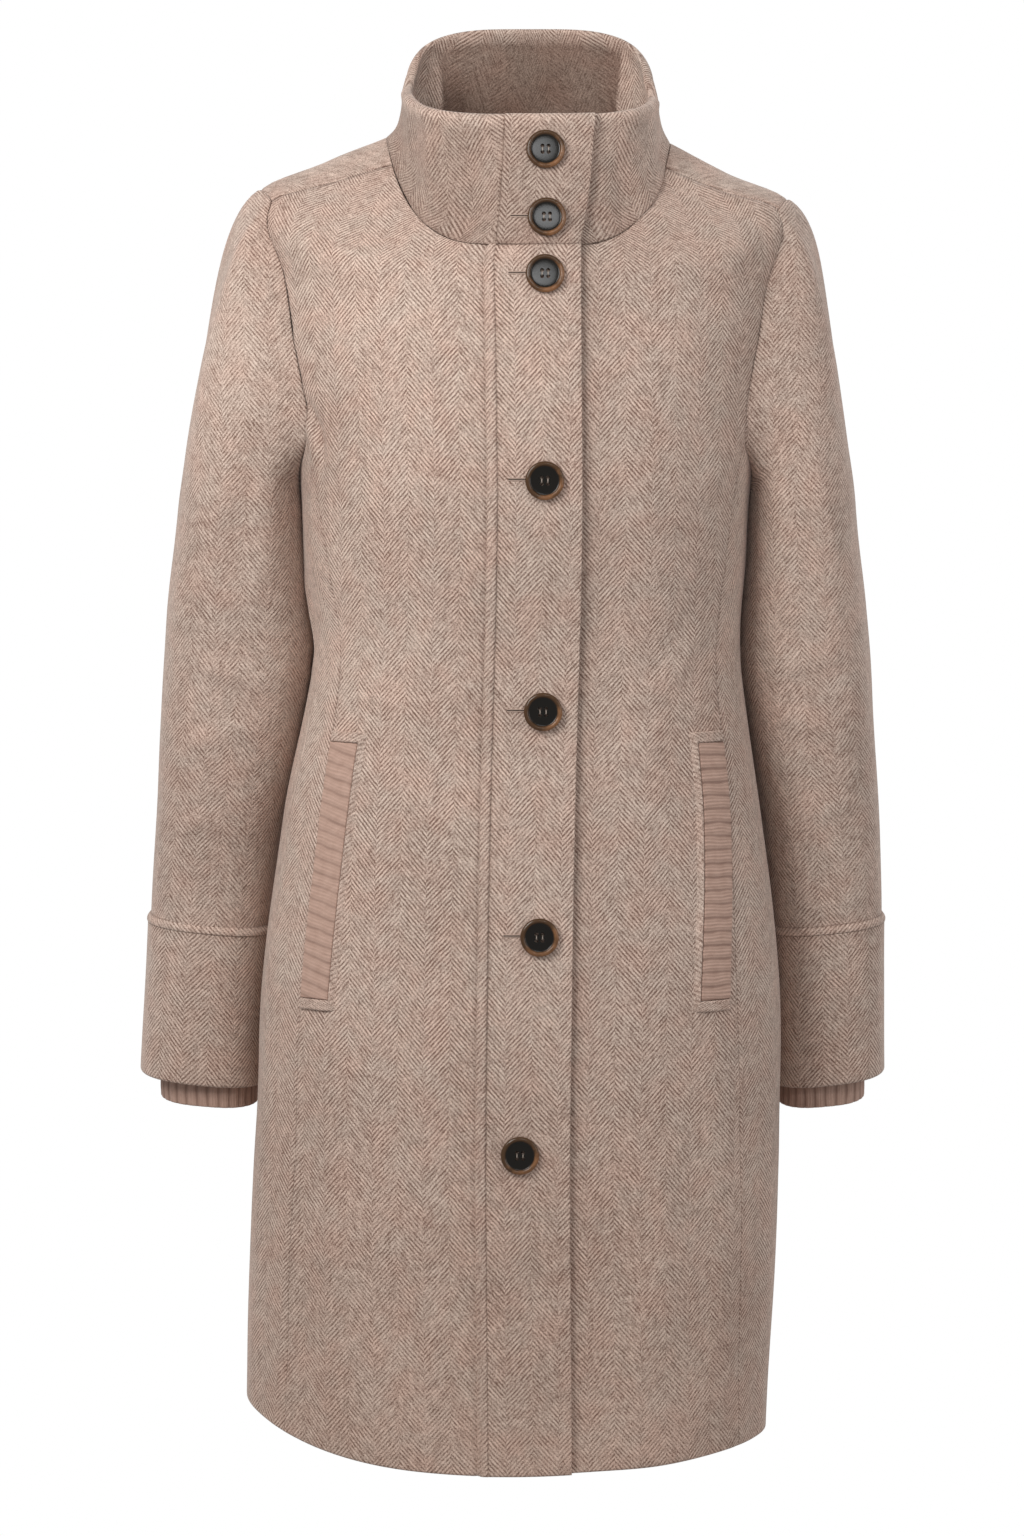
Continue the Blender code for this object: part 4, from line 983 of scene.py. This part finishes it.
def make_fronts():
    """The right front with its ridge, the placket beside it, and the left front that runs on under it."""
    rows = rows_along(BODY, FRONT_GUIDE, 0, NECK_ROW, BODY_STEP, band(HEM_EDGE), band(SEAM))
    seam, edge = placket_angles(rows)
    side_seam = panel_side_seam(rows)
    placket_seam = between_edges(PLACKET_SEAM, PLACKET_SEAM_TOP, rows[:, None] / NECK_ROW)

    side = BODY.angle_past(rows, -panel_side_angle(rows, FRONT_SEAM["right"]), SEAM_TRIM)
    last = BODY.angle_past(rows, seam, -SEAM_TRIM)
    near_seam = np.concatenate([band(PLACKET_SEAM), RIDGE_BAND])
    patch = Patch(BODY, rows, columns_between(BODY, rows, side, last, BODY_STEP, band(SEAM), near_seam))
    on_ridge = smooth((RIDGE_WIDTH - patch.last) / RIDGE_SLOPE)
    in_groove = bell((patch.last - RIDGE_WIDTH - GROOVE_WIDTH) / GROOVE_WIDTH)
    relief = body_relief(patch, patch.first, patch.last, patch.high)
    relief = relief + RIDGE_HEIGHT * on_ridge - GROOVE_DEPTH * in_groove
    plain = RIDGE_NAP * on_ridge * smooth((patch.last - RIDGE_NAP_START) / RIDGE_NAP_FADE)
    # Painted shade in the stitch groove, and a plainer weave on the ridge
    depth = hem_nap(patch) + GROOVE_SHADE * in_groove - plain
    edges = HEM_EDGE, NECK_SEAM, side_seam, placket_seam
    weave = patch.across(seam) - RIGHT_FRONT_START, patch.along(LEVEL_ROW)
    sew("front_right", patch, hem_wall(patch), edges, weave, relief, depth=depth)

    first = BODY.angle_past(rows, seam, -PLACKET_TUCK)
    angles = columns_between(BODY, rows, first, edge, BODY_STEP, band(PLACKET_SEAM), band(PLACKET_FREE_EDGE))
    patch = Patch(BODY, rows, angles, PLACKET_PROUD)
    edges = FACED_EDGE, NECK_SEAM, placket_seam, PLACKET_FREE_EDGE
    weave = patch.first - PLACKET_START, patch.along(LEVEL_ROW)
    relief = body_relief(patch, patch.first, patch.high)
    sew("placket", patch, FACED_CLOTH, edges, weave, relief, depth=hem_nap(patch))

    first = BODY.angle_past(rows, edge, -UNDERLAP)
    side = BODY.angle_past(rows, panel_side_angle(rows, FRONT_SEAM["left"]), -SEAM_TRIM)
    angles = columns_between(BODY, rows, first, side, BODY_STEP, band(FREE_EDGE), band(SEAM))
    rise = (angles - edge[:, None]) / (BODY.angle_past(rows, edge, LEFT_FRONT_RISE) - edge)[:, None]
    patch = Patch(BODY, rows, angles, -LEFT_FRONT_SINK * (1 - smooth(rise)))
    past_edge = patch.across(edge)
    # Painted shadow beside the placket's edge, fading away from it, over a little painted shade on all the
    # left front
    shade = np.exp(-((np.maximum(past_edge, 0) / LAP_SHADE_REACH) ** LAP_SHADE_POWER))
    shade = LAP_SHADE * shade + LEFT_FRONT_SHADE + hem_nap(patch)
    edges = HEM_EDGE, NECK_SEAM, FREE_EDGE, side_seam
    weave = past_edge - LEFT_FRONT_START, patch.along(LEVEL_ROW)
    relief = body_relief(patch, patch.last, patch.high)
    sew("front_left", patch, hem_wall(patch), edges, weave, relief, depth=shade)


def make_sides():
    """The side panels, whose tops follow the underarm stretch of the armhole seam."""
    across = spaced(SIDE_PANEL_WIDTH, BODY_STEP, band(SEAM), band(SEAM)) / SIDE_PANEL_WIDTH
    for side, facing in SIDES.items():
        ups = rows_along(BODY, facing * SIDE_GUIDE, 0, UNDERARM_ROW, BODY_STEP, band(HEM_EDGE), band(SEAM))
        ups = ups[:, None] / UNDERARM_ROW
        top_row, top_angle = armhole(blend(FRONT_SEAM_TURN, BACK_SEAM_TURN, across))
        front_seam = FRONT_SEAM[side]
        straight_top = blend(front_seam[-1], BACK_SEAM[-1], across)
        rows = ups * SEAM_TOP_ROW
        first = BODY.angle_past(rows, long_seam_angle(front_seam, rows), SEAM_TRIM)
        last = BODY.angle_past(rows, long_seam_angle(BACK_SEAM, rows), -SEAM_TRIM)
        angles = blend(first, last, across) + ups ** 2 * (top_angle - straight_top)
        patch = Patch(BODY, ups * top_row, facing * angles)
        side_seam = long_seam(patch.rows)
        edges = HEM_EDGE, ARMHOLE_EDGE, side_seam, side_seam
        weave = patch.across(facing * (first + last)[:, 0] / 2), patch.along(LEVEL_ROW)
        relief = body_relief(patch, patch.first, patch.last, patch.high)
        sew(f"side_{side}", patch, hem_wall(patch), edges, weave, relief)


def make_back():
    """The back, with a plain nap where it comes forward over the shoulders."""
    rows = rows_along(BODY, BACK_GUIDE, 0, NECK_ROW, BODY_STEP, band(HEM_EDGE), band(SEAM))
    side = panel_side_angle(rows, BACK_SEAM)
    first, last = BODY.angle_past(rows, side, SEAM_TRIM), BODY.angle_past(rows, 360 - side, -SEAM_TRIM)
    patch = Patch(BODY, rows, columns_between(BODY, rows, first, last, BODY_STEP, band(SEAM), band(SEAM)))
    side_seam = panel_side_seam(rows)
    edges = HEM_EDGE, NECK_SEAM, side_seam, side_seam
    weave = patch.across(BACK_GUIDE), patch.along(LEVEL_ROW)
    aside = smooth((np.abs(patch.angles - BACK_GUIDE) - NAP_ANGLE) / NAP_ANGLES)
    on_shoulder = smooth((patch.rows - NAP_ROW) / NAP_ROWS) * aside
    relief = body_relief(patch, patch.first, patch.last, patch.high)
    sew("back", patch, hem_wall(patch), edges, weave, relief, depth=-on_shoulder)


def make_collar():
    """The collar from the tab's seam round the back to its left end under the tab, and the tab."""
    ends = band(NECK_SEAM), band(LIP_EDGE)
    rows = rows_along(COLLAR, COLLAR_GUIDE, COLLAR_LOW_ROW, COLLAR_TOP_ROW, COLLAR_STEP, *ends)
    seam, edge = tab_angles(rows)

    def relief(patch, *seams):
        lip = LIP_ROLL * bell((patch.high - LIP_ROLL_AT) / LIP_ROLL_SPREAD)
        return waved(patch, COLLAR_CREASES, COLLAR_DEGREE) + lip + patch.puckers(*seams)

    def below_lip(patch):
        return smooth((patch.high - SHADE_START) / SHADE_NEAR)

    # Painted shade on the collar's outside, from just below its lip, more on the wearer's right than on the
    # left
    def shade(patch):
        return (COLLAR_SHADE - COLLAR_SHADE_TILT * np.sin(np.radians(patch.angles))) * below_lip(patch)

    def wall(patch):
        return FACED_CLOTH + LIP_EXTRA * smooth(1 - patch.high / LIP_HEIGHT)

    last = COLLAR.angle_past(rows, 360 + seam, -SEAM_TRIM)
    ends = band(FACED_EDGE), band(TAB_SEAM)
    angles = columns_between(COLLAR, rows, COLLAR_LEFT_END, last, COLLAR_STEP, *ends)
    rise = (angles - edge[:, None]) / COLLAR_RISE_ANGLE
    patch = Patch(COLLAR, rows, angles, -COLLAR_SINK * (1 - smooth(rise)))
    u, v = patch.across(BACK_GUIDE, level=False), patch.low
    turn = math.radians(COLLAR_WEAVE_TURN) * np.tanh(u / COLLAR_WEAVE_EASE)
    weave = u * np.cos(turn) + v * np.sin(turn), v * np.cos(turn) - u * np.sin(turn)
    from_back = np.abs(patch.angles - BACK_GUIDE)
    corners = CORNER_HEIGHT * np.clip(1 - np.abs(from_back - CORNER_ANGLE) / CORNER_SPREAD, 0, 1)
    corners = corners * smooth((patch.rows - CORNER_LOW_ROW) / (COLLAR_TOP_ROW - CORNER_LOW_ROW))
    # Painted shade inside the collar's back between its corners, deeper below the lip and uneven, and less
    # inside its sides
    behind = smooth((CORNER_ANGLE - from_back) / CORNER_FADE + 0.5)
    deep = smooth(patch.high / SHADE_FAR)
    inside = SHADE_NEAR_SHARE * below_lip(patch) + (1 - SHADE_NEAR_SHARE) * deep
    inside = behind * inside * (1 + SHADE_UNEVEN * patch.uneven(SHADE_PATCH))
    inside = blend(COLLAR_SIDE_SHADE, COLLAR_INSIDE_SHADE, inside)
    edges = NECK_SEAM, LIP_EDGE, FACED_EDGE, TAB_SEAM
    shape = relief(patch, patch.low, patch.last) + corners
    sew("collar", patch, wall(patch), edges, weave, shape, depth=shade(patch), inside_painted_shade=inside)

    first = COLLAR.angle_past(rows, seam, SEAM_TRIM)
    angles = columns_between(COLLAR, rows, first, edge, COLLAR_STEP, band(TAB_SEAM), band(PLACKET_FREE_EDGE))
    patch = Patch(COLLAR, rows, angles, TAB_PROUD)
    edges = NECK_SEAM, LIP_EDGE, TAB_SEAM, PLACKET_FREE_EDGE
    weave = patch.first - TAB_START, patch.low
    shape = relief(patch, patch.low, patch.first)
    sew("collar_tab", patch, wall(patch), edges, weave, shape, depth=shade(patch))


def sleeve_weave(side, patch):
    """The weave's places on a sleeve: round its rows, and upright over the cap."""
    biceps = dict(zip(SLEEVE_COLUMNS, SLEEVE_SECTIONS[0]))
    inner, outer = biceps[f"{side}_inner"], biceps[f"{side}_outer"]
    out = SIDES[side] * patch.base[..., 0] - (inner + outer) / 2
    ahead = biceps["y"] - patch.base[..., 1]
    turn = np.degrees(np.arctan2(ahead / biceps["half_fore"], out / (outer - inner) * 2))
    u = patch.across(SLEEVE_WEAVE_TURN, level=False)
    first_below = np.searchsorted(patch.rows[:, 0], BICEPS_ROW)
    on_cap = patch.rows < BICEPS_ROW
    eased = np.clip(turn, -SLEEVE_WEAVE_TURN, SLEEVE_WEAVE_TURN)
    round_cap = np.interp(eased, patch.angles[first_below], u[first_below])
    inwards = np.maximum((outer - inner) / 2 * math.cos(math.radians(SLEEVE_WEAVE_TURN)) - out, 0)
    round_cap = round_cap + np.where(eased == turn, 0, CAP_WEAVE_EASE * np.sign(turn) * inwards)
    u = blend(u, round_cap, smooth((BICEPS_ROW - patch.rows) / CAP_WEAVE_ROWS))
    reach = np.hypot(ahead / biceps["half_fore"], out / (outer - inner) * 2)
    reach = np.minimum(reach, 1) * biceps["half_fore"]
    steps = np.hypot(np.diff(patch.base[..., 2], axis=0), np.diff(reach, axis=0))
    travelled = np.concatenate([np.zeros_like(steps[:1]), np.cumsum(steps, axis=0)])
    v = np.where(on_cap, travelled[first_below] - travelled, patch.low[first_below] - patch.low)
    return u, v


def make_sleeve(side):
    """A sleeve with its cuff, the tuck round the cuff's seam, and the knitted inner cuff."""
    sleeve = SLEEVES[side]

    def places(low, high, row_step, step, low_edge, high_edge):
        """Rows of a stretch of the sleeve, and angles all round on each."""
        rows = rows_along(sleeve, SLEEVE_GUIDE, low, high, row_step, band(low_edge), band(high_edge))
        return rows, columns_between(sleeve, rows, -180.0, 180.0, step, band(SEAM), band(SEAM))

    seam_row = float(sleeve.row_past(CUFF_SEAM_ROW, CUFF_GUIDE, -SEAM_GAP))
    patch = Patch(sleeve, *places(0, seam_row, SLEEVE_STEP, SLEEVE_STEP, SEAM, SEAM))
    relief = waved(patch, SLEEVE_CREASES[side], SLEEVE_DEGREE) + SLEEVE_PUCKERS * patch.puckers(patch.low)
    edges = ARMHOLE_EDGE, SEAM, SEAM, SEAM
    sew(f"sleeve_{side}", patch, CLOTH, edges, sleeve_weave(side, patch), relief, depth=SLEEVE_NAP)

    stretch = places(CUFF_SEAM_ROW, CUFF_HEM_ROW, CUFF_STEP, CUFF_STEP, SEAM, FACED_EDGE)
    patch = Patch(sleeve, *stretch, CUFF_PROUD)
    edges = SEAM, FACED_EDGE, SEAM, SEAM
    relief = CUFF_WAVES * WAVE_HEIGHT * patch.uneven(WAVE_SIZE)
    weave = patch.across(SLEEVE_WEAVE_TURN), -patch.low
    sew(f"cuff_{side}", patch, FACED_CLOTH, edges, weave, relief)

    rows, angles = places(*CUFF_WELT_ROWS, CUFF_WELT_STEP, CUFF_STEP, CUFF_WELT_EDGE, CUFF_WELT_EDGE)
    share = (rows - rows[0]) / (rows[-1] - rows[0])
    rise = blend(*CUFF_WELT_RISE, smooth(share * CUFF_WELT_STEEPNESS))
    patch = Patch(sleeve, rows, angles, rise[:, None])
    edges = CUFF_WELT_EDGE, CUFF_WELT_EDGE, SEAM, SEAM
    weave = patch.low, patch.across(SLEEVE_WEAVE_TURN)
    sew(f"cuff_welt_{side}", patch, CUFF_WELT_THICKNESS, edges, weave, depth=CUFF_WELT_NAP)

    profile_rows, insets = zip(*RIB_CUFF_PROFILE)
    rows, angles = places(profile_rows[0], profile_rows[-1], RIB_SIDE_STEP, RIB_STEP, KNIT_EDGE, KNIT_EDGE)
    inset = np.interp(rows, profile_rows, insets)[:, None]
    inwards = (1 - np.cos(np.radians(angles))) / 2
    patch = Patch(sleeve, rows, angles, -inset * (1 - RIB_CUFF_INNER_SHARE * inwards))
    girth = patch.first[-1, -1]
    round_cuff = patch.first / (patch.first + patch.last) * girth
    # Painted shade in the ribs' grooves, and over all the knitted cuff where it lies under the cloth cuff
    relief, depth = ribs(patch, round_cuff, round(girth / RIB_CUFF_BAND), CUFF_RIB_GROOVE, CUFF_FINE_SHADE)
    depth = np.clip(CUFF_RIB_SHADE + depth, 0, 1)
    edges = KNIT_EDGE, KNIT_EDGE, SEAM, SEAM
    sew(f"rib_cuff_{side}", patch, RIB_KNIT, edges, (round_cuff, patch.low), relief, "rib_knit", depth)


def ribs(patch, distance, bands, strength, fine_strength):
    """The relief of so many bands of knitted ribs across a distance, and the painted shade of its grooves."""
    uneven = patch.uneven(RIB_SWAY_SIZE)
    share = (distance / distance.max() * bands + RIB_SWAY * uneven) % 1
    groove = bell(np.minimum(share, 1 - share) / RIB_GROOVE_SHARE)
    groove = groove * (RIB_GROOVE_MEAN + RIB_GROOVE_UNEVEN * uneven) * strength
    fine = 0.5 + 0.5 * np.cos(2 * math.pi * share * FINE_RIBS)
    relief = -RIB_GROOVE_DEPTH * groove - FINE_RIB_DEPTH * fine * (1 - groove)
    return relief, np.clip(groove + fine_strength * fine * (1 - groove), 0, 1)


def make_pocket(side):
    """The knitted strip and the welt of one pocket, both laid on the front panel."""
    facing = SIDES[side]
    guide = np.array(facing * POCKET_ANGLE)
    top = float(BODY.row_at_height(guide, POCKET_TOP_Z, NECK_ROW))
    bottom = float(BODY.row_at_height(guide, POCKET_BOTTOM_Z, NECK_ROW))

    def angles_at(row, outset):
        """The angle of the strip's side edge, and of a line that far beyond its front edge."""
        seam = facing * long_seam_angle(FRONT_SEAM[side], row)
        margin = POCKET_SEAM_MARGIN + between_rows(POCKET_SHIFT[side], (row - bottom) / (top - bottom) * 2)
        front = BODY.angle_past(row, seam, -facing * (margin + POCKET_RIB_WIDTH + outset))
        return BODY.angle_past(row, seam, -facing * margin), front

    rows = rows_along(BODY, guide, bottom, top, RIB_STEP, band(KNIT_EDGE), band(KNIT_EDGE))
    side_edge, front_edge = angles_at(rows, 0)
    across = spaced(POCKET_RIB_WIDTH, RIB_SIDE_STEP, band(KNIT_EDGE), band(KNIT_EDGE)) / POCKET_RIB_WIDTH
    angles = blend(side_edge[:, None], front_edge[:, None], across)
    patch = Patch(BODY, rows, angles, SEAM_GAP + RIB_KNIT)
    tilted = patch.low + POCKET_RIB_TILT[side] * (patch.first - POCKET_RIB_WIDTH / 2)
    bands = round((POCKET_TOP_Z - POCKET_BOTTOM_Z) / RIB_BAND)
    groove = POCKET_RIB_GROOVE[side]
    # Painted shade down in the knit's grooves
    relief, depth = ribs(patch, tilted, bands, groove, FINE_RIB_SHADE * groove)
    relief = relief + waved(patch, BODY_CREASES, BODY_DEGREE)
    weave = patch.first, patch.low
    sew(f"pocket_rib_{side}", patch, RIB_KNIT, [KNIT_EDGE] * 4, weave, relief, "rib_knit", depth)

    def border(share):
        """Rows and angles of a line round the strip, that share of the welt's width out from it."""
        outset, bar = SEAM_GAP + POCKET_WELT_WIDTH * share, SEAM_GAP + POCKET_BAR_HEIGHT * share
        high, low = BODY.row_past(top, guide, bar), BODY.row_past(bottom, guide, -bar)
        bar_shares = np.linspace(0, 1, POCKET_BAR_STEPS)
        front_rows = np.linspace(high, low, POCKET_FRONT_STEPS)[1:-1]
        rows = np.concatenate([np.full(POCKET_BAR_STEPS, high), front_rows, np.full(POCKET_BAR_STEPS, low)])
        angles = np.concatenate([
            blend(*angles_at(high, outset), bar_shares),
            angles_at(front_rows, outset)[1],
            blend(*reversed(angles_at(low, outset)), bar_shares),
        ])
        return rows, angles

    step = POCKET_WELT_WIDTH / POCKET_WELT_SPANS
    shares = spaced(POCKET_WELT_WIDTH, step, band(FREE_EDGE), band(FREE_EDGE)) / POCKET_WELT_WIDTH
    rows, angles = (np.array(lines) for lines in zip(*map(border, shares)))
    patch = Patch(BODY, rows, angles, SEAM_GAP + CLOTH)
    on_front = smooth((np.minimum(patch.first, patch.last) - POCKET_RIB_WIDTH) / POCKET_BAR_FADE)
    sinks = on_front * POCKET_WELT_SINK * smooth(patch.low / (patch.low + patch.high))
    relief = waved(patch, BODY_CREASES, BODY_DEGREE) - sinks
    weave = patch.low, patch.first
    sew(f"pocket_welt_{side}", patch, CLOTH, [FREE_EDGE] * 4, weave, relief, depth=WELT_NAP)


def button_mesh():
    """A turned button with a raised rim, dished inside it, with four holes."""
    size = BUTTON_DIAMETER / 2, BUTTON_THICKNESS
    spans = len(BUTTON_PROFILE) - 1
    profile = between_rows(BUTTON_PROFILE, np.linspace(0, spans, spans * BUTTON_PROFILE_STEPS + 1)) * size
    profile = np.clip(profile, 0, size)
    outline = bpy.data.meshes.new("button_profile")
    edges = [(i, i + 1) for i in range(len(profile) - 1)]
    outline.from_pydata([(radius, 0, height) for radius, height in profile.tolist()], edges, [])
    turned = linked("button_blank", outline)
    screw = turned.modifiers.new("turn", "SCREW")
    screw.steps = screw.render_steps = BUTTON_STEPS
    screw.use_merge_vertices = True
    screw.merge_threshold = BUTTON_MERGE
    holes = bmesh.new()
    half, radius = BUTTON_HOLE_SPACING / 2, BUTTON_HOLE_DIAMETER / 2
    for x, y in product((-half, half), repeat=2):
        bmesh.ops.create_cone(holes, cap_ends=True, segments=BUTTON_HOLE_SIDES, radius1=radius,
                              radius2=radius, depth=4 * BUTTON_THICKNESS,
                              matrix=Matrix.Translation((x, y, 0)))
    hole_mesh = bpy.data.meshes.new("button_holes")
    holes.to_mesh(hole_mesh)
    holes.free()
    drill = linked("button_holes", hole_mesh)
    turned.modifiers.new("holes", "BOOLEAN").object = drill
    mesh = bpy.data.meshes.new_from_object(turned.evaluated_get(bpy.context.evaluated_depsgraph_get()))
    mesh.shade_smooth()
    mesh.set_sharp_from_angle(angle=math.radians(BUTTON_SHARP_ANGLE))
    for helper in (turned, drill):
        bpy.data.objects.remove(helper)
    return mesh


def tube(path, radius):
    """Points and faces of a round rod along a path, closed at both ends."""
    path, sides = np.asarray(path, float), TUBE_SIDES
    ahead = unit(np.gradient(path, axis=0))
    beside = unit(np.cross(ahead, TUBE_ASIDE))
    above = np.cross(ahead, beside)
    turns = np.linspace(0, 2 * math.pi, sides, endpoint=False)[:, None]
    rings = path[:, None] + radius * (np.cos(turns) * beside[:, None] + np.sin(turns) * above[:, None])
    faces = [tuple(range(sides - 1, -1, -1)), tuple(range((len(path) - 1) * sides, len(path) * sides))]
    for step, side in product(range(len(path) - 1), range(sides)):
        low, high, beyond = step * sides, (step + 1) * sides, (side + 1) % sides
        faces.append((low + side, low + beyond, high + beyond, high + side))
    return rings.reshape(-1, 3), faces


def joined(name, parts):
    """One mesh of several point and face lists."""
    points, faces = [], []
    for part_points, part_faces in parts:
        faces += [tuple(corner + len(points) for corner in face) for face in part_faces]
        points += part_points.tolist()
    mesh = bpy.data.meshes.new(name)
    mesh.from_pydata(points, [], faces)
    mesh.shade_smooth()
    return mesh


def seat(surface, z, x):
    """The row and angle of a place on the front, by its height and its place across."""
    last_row = NECK_ROW if surface is BODY else COLLAR_TOP_ROW
    angle = np.array(0.0)
    for _ in range(BUTTON_SEAT_STEPS):
        row = surface.row_at_height(angle, z, last_row)
        angle = surface.front_angle(row, x)
    return row, angle


def laid_on(cloth, points, outwards, rise):
    """Points moved along a direction to lie that far above a cloth."""
    starts = [Vector(point) + outwards * BUTTON_DIAMETER for point in points]
    return [cloth.ray_cast(start, -outwards)[0] + outwards * rise for start in starts]


def make_buttons():
    """The buttons from the collar down, each on the cloth under it, with its thread and its buttonhole."""
    shared = button_mesh()
    seen = bpy.context.evaluated_depsgraph_get()
    tab, placket = (BVHTree.FromObject(sewn[node][0], seen) for node in ("collar_tab", "placket"))
    places = [(COLLAR, tab, TAB_PROUD, z, x) for z, x in COLLAR_BUTTONS]
    places += [(BODY, placket, PLACKET_PROUD, z, x) for z, x in PLACKET_BUTTONS]
    half, face = BUTTON_HOLE_SPACING / 2, BUTTON_PROFILE[0][1] * BUTTON_THICKNESS
    threads, lips, slits = [], [], []
    for number, (surface, cloth, proud, z, x) in enumerate(places):
        row, angle = seat(surface, z, x)
        outwards = Vector(surface.normal(row, angle))
        across = Vector((0, 0, 1)).cross(outwards).normalized()
        turned = Matrix((across, outwards.cross(across), outwards)).transposed().to_4x4()
        placed = Matrix.Translation(surface.at(row, angle, proud + BUTTON_SEAT_GAP)) @ turned
        node = f"button_{number + 1}"
        add_piece(f"{node}_horn", shared.copy(), [node], FINISHES["horn"], placed)
        for aside in (-half, half):
            arch = [placed @ Vector((aside, half * share, face + rise)) for share, rise in THREAD_ARCH]
            threads.append(tube(arch, THREAD_RADIUS))
        if number in BUTTONHOLES:
            line = surface.angle_past(row, angle, -np.linspace(*BUTTONHOLE_SPAN, BUTTONHOLE_STEPS))
            for side in (-1, 1):
                beside = surface.row_past(row, angle, BUTTONHOLE_UP + side * BUTTONHOLE_HALF_GAP)
                lips.append(tube(laid_on(cloth, surface.at(beside, line), outwards, 0), BUTTONHOLE_LIP))
            # A near-black rod of painted shadow along the slit between the lips
            middle = surface.row_past(row, angle, BUTTONHOLE_UP)
            slit = laid_on(cloth, surface.at(middle, line), outwards, BUTTONHOLE_RISE)
            slits.append(tube(slit, BUTTONHOLE_SLIT))
    add_piece("button_threads", joined("button_threads", threads), [], THREAD)
    add_piece("buttonhole_lips", joined("buttonhole_lips", lips), [], LIP)
    add_piece("buttonhole_slits", joined("buttonhole_slits", slits), [], SLIT_SHADOW)


def add_light(name, place, target, size, power, colour):
    data = bpy.data.lights.new(name, "AREA")
    data.shape, data.size, data.size_y = "RECTANGLE", *size
    data.energy, data.color = power, colour
    light = linked(name, data)
    light.location = place
    light.rotation_euler = (Vector(target) - light.location).to_track_quat("-Z", "Y").to_euler()
    light.visible_camera = False


def light_scene():
    """Soft studio light from the upper left, with a white surround behind the coat."""
    world = bpy.data.worlds.new("studio")
    world.use_nodes = True
    nodes, links = world.node_tree.nodes, world.node_tree.links
    nodes.clear()
    seen, lit = nodes.new("ShaderNodeBackground"), nodes.new("ShaderNodeBackground")
    for surround, strength in ((seen, 1.0), (lit, AMBIENT)):
        surround.inputs["Strength"].default_value = strength
        surround.inputs["Color"].default_value = (1, 1, 1, 1)
    chosen, output = nodes.new("ShaderNodeMixShader"), nodes.new("ShaderNodeOutputWorld")
    links.new(nodes.new("ShaderNodeLightPath").outputs["Is Camera Ray"], chosen.inputs[0])
    links.new(lit.outputs[0], chosen.inputs[1])
    links.new(seen.outputs[0], chosen.inputs[2])
    links.new(chosen.outputs[0], output.inputs["Surface"])
    bpy.context.scene.world = world
    for light in LIGHTS:
        add_light(*light)
    bpy.context.scene.view_settings.view_transform = "Standard"


def place_camera():
    data = bpy.data.cameras.new("camera")
    data.lens, data.sensor_width = LENS, SENSOR
    camera = linked("camera", data)
    camera.location = CAMERA_PLACE
    camera.rotation_euler = (math.radians(90 - CAMERA_PITCH), 0, 0)
    bpy.context.scene.camera = camera


sewn = {}
make_fronts()
make_sides()
make_back()
make_collar()
for wearer_side in SIDES:
    make_sleeve(wearer_side)
    make_pocket(wearer_side)
make_buttons()
declare_sheets()
light_scene()
place_camera()
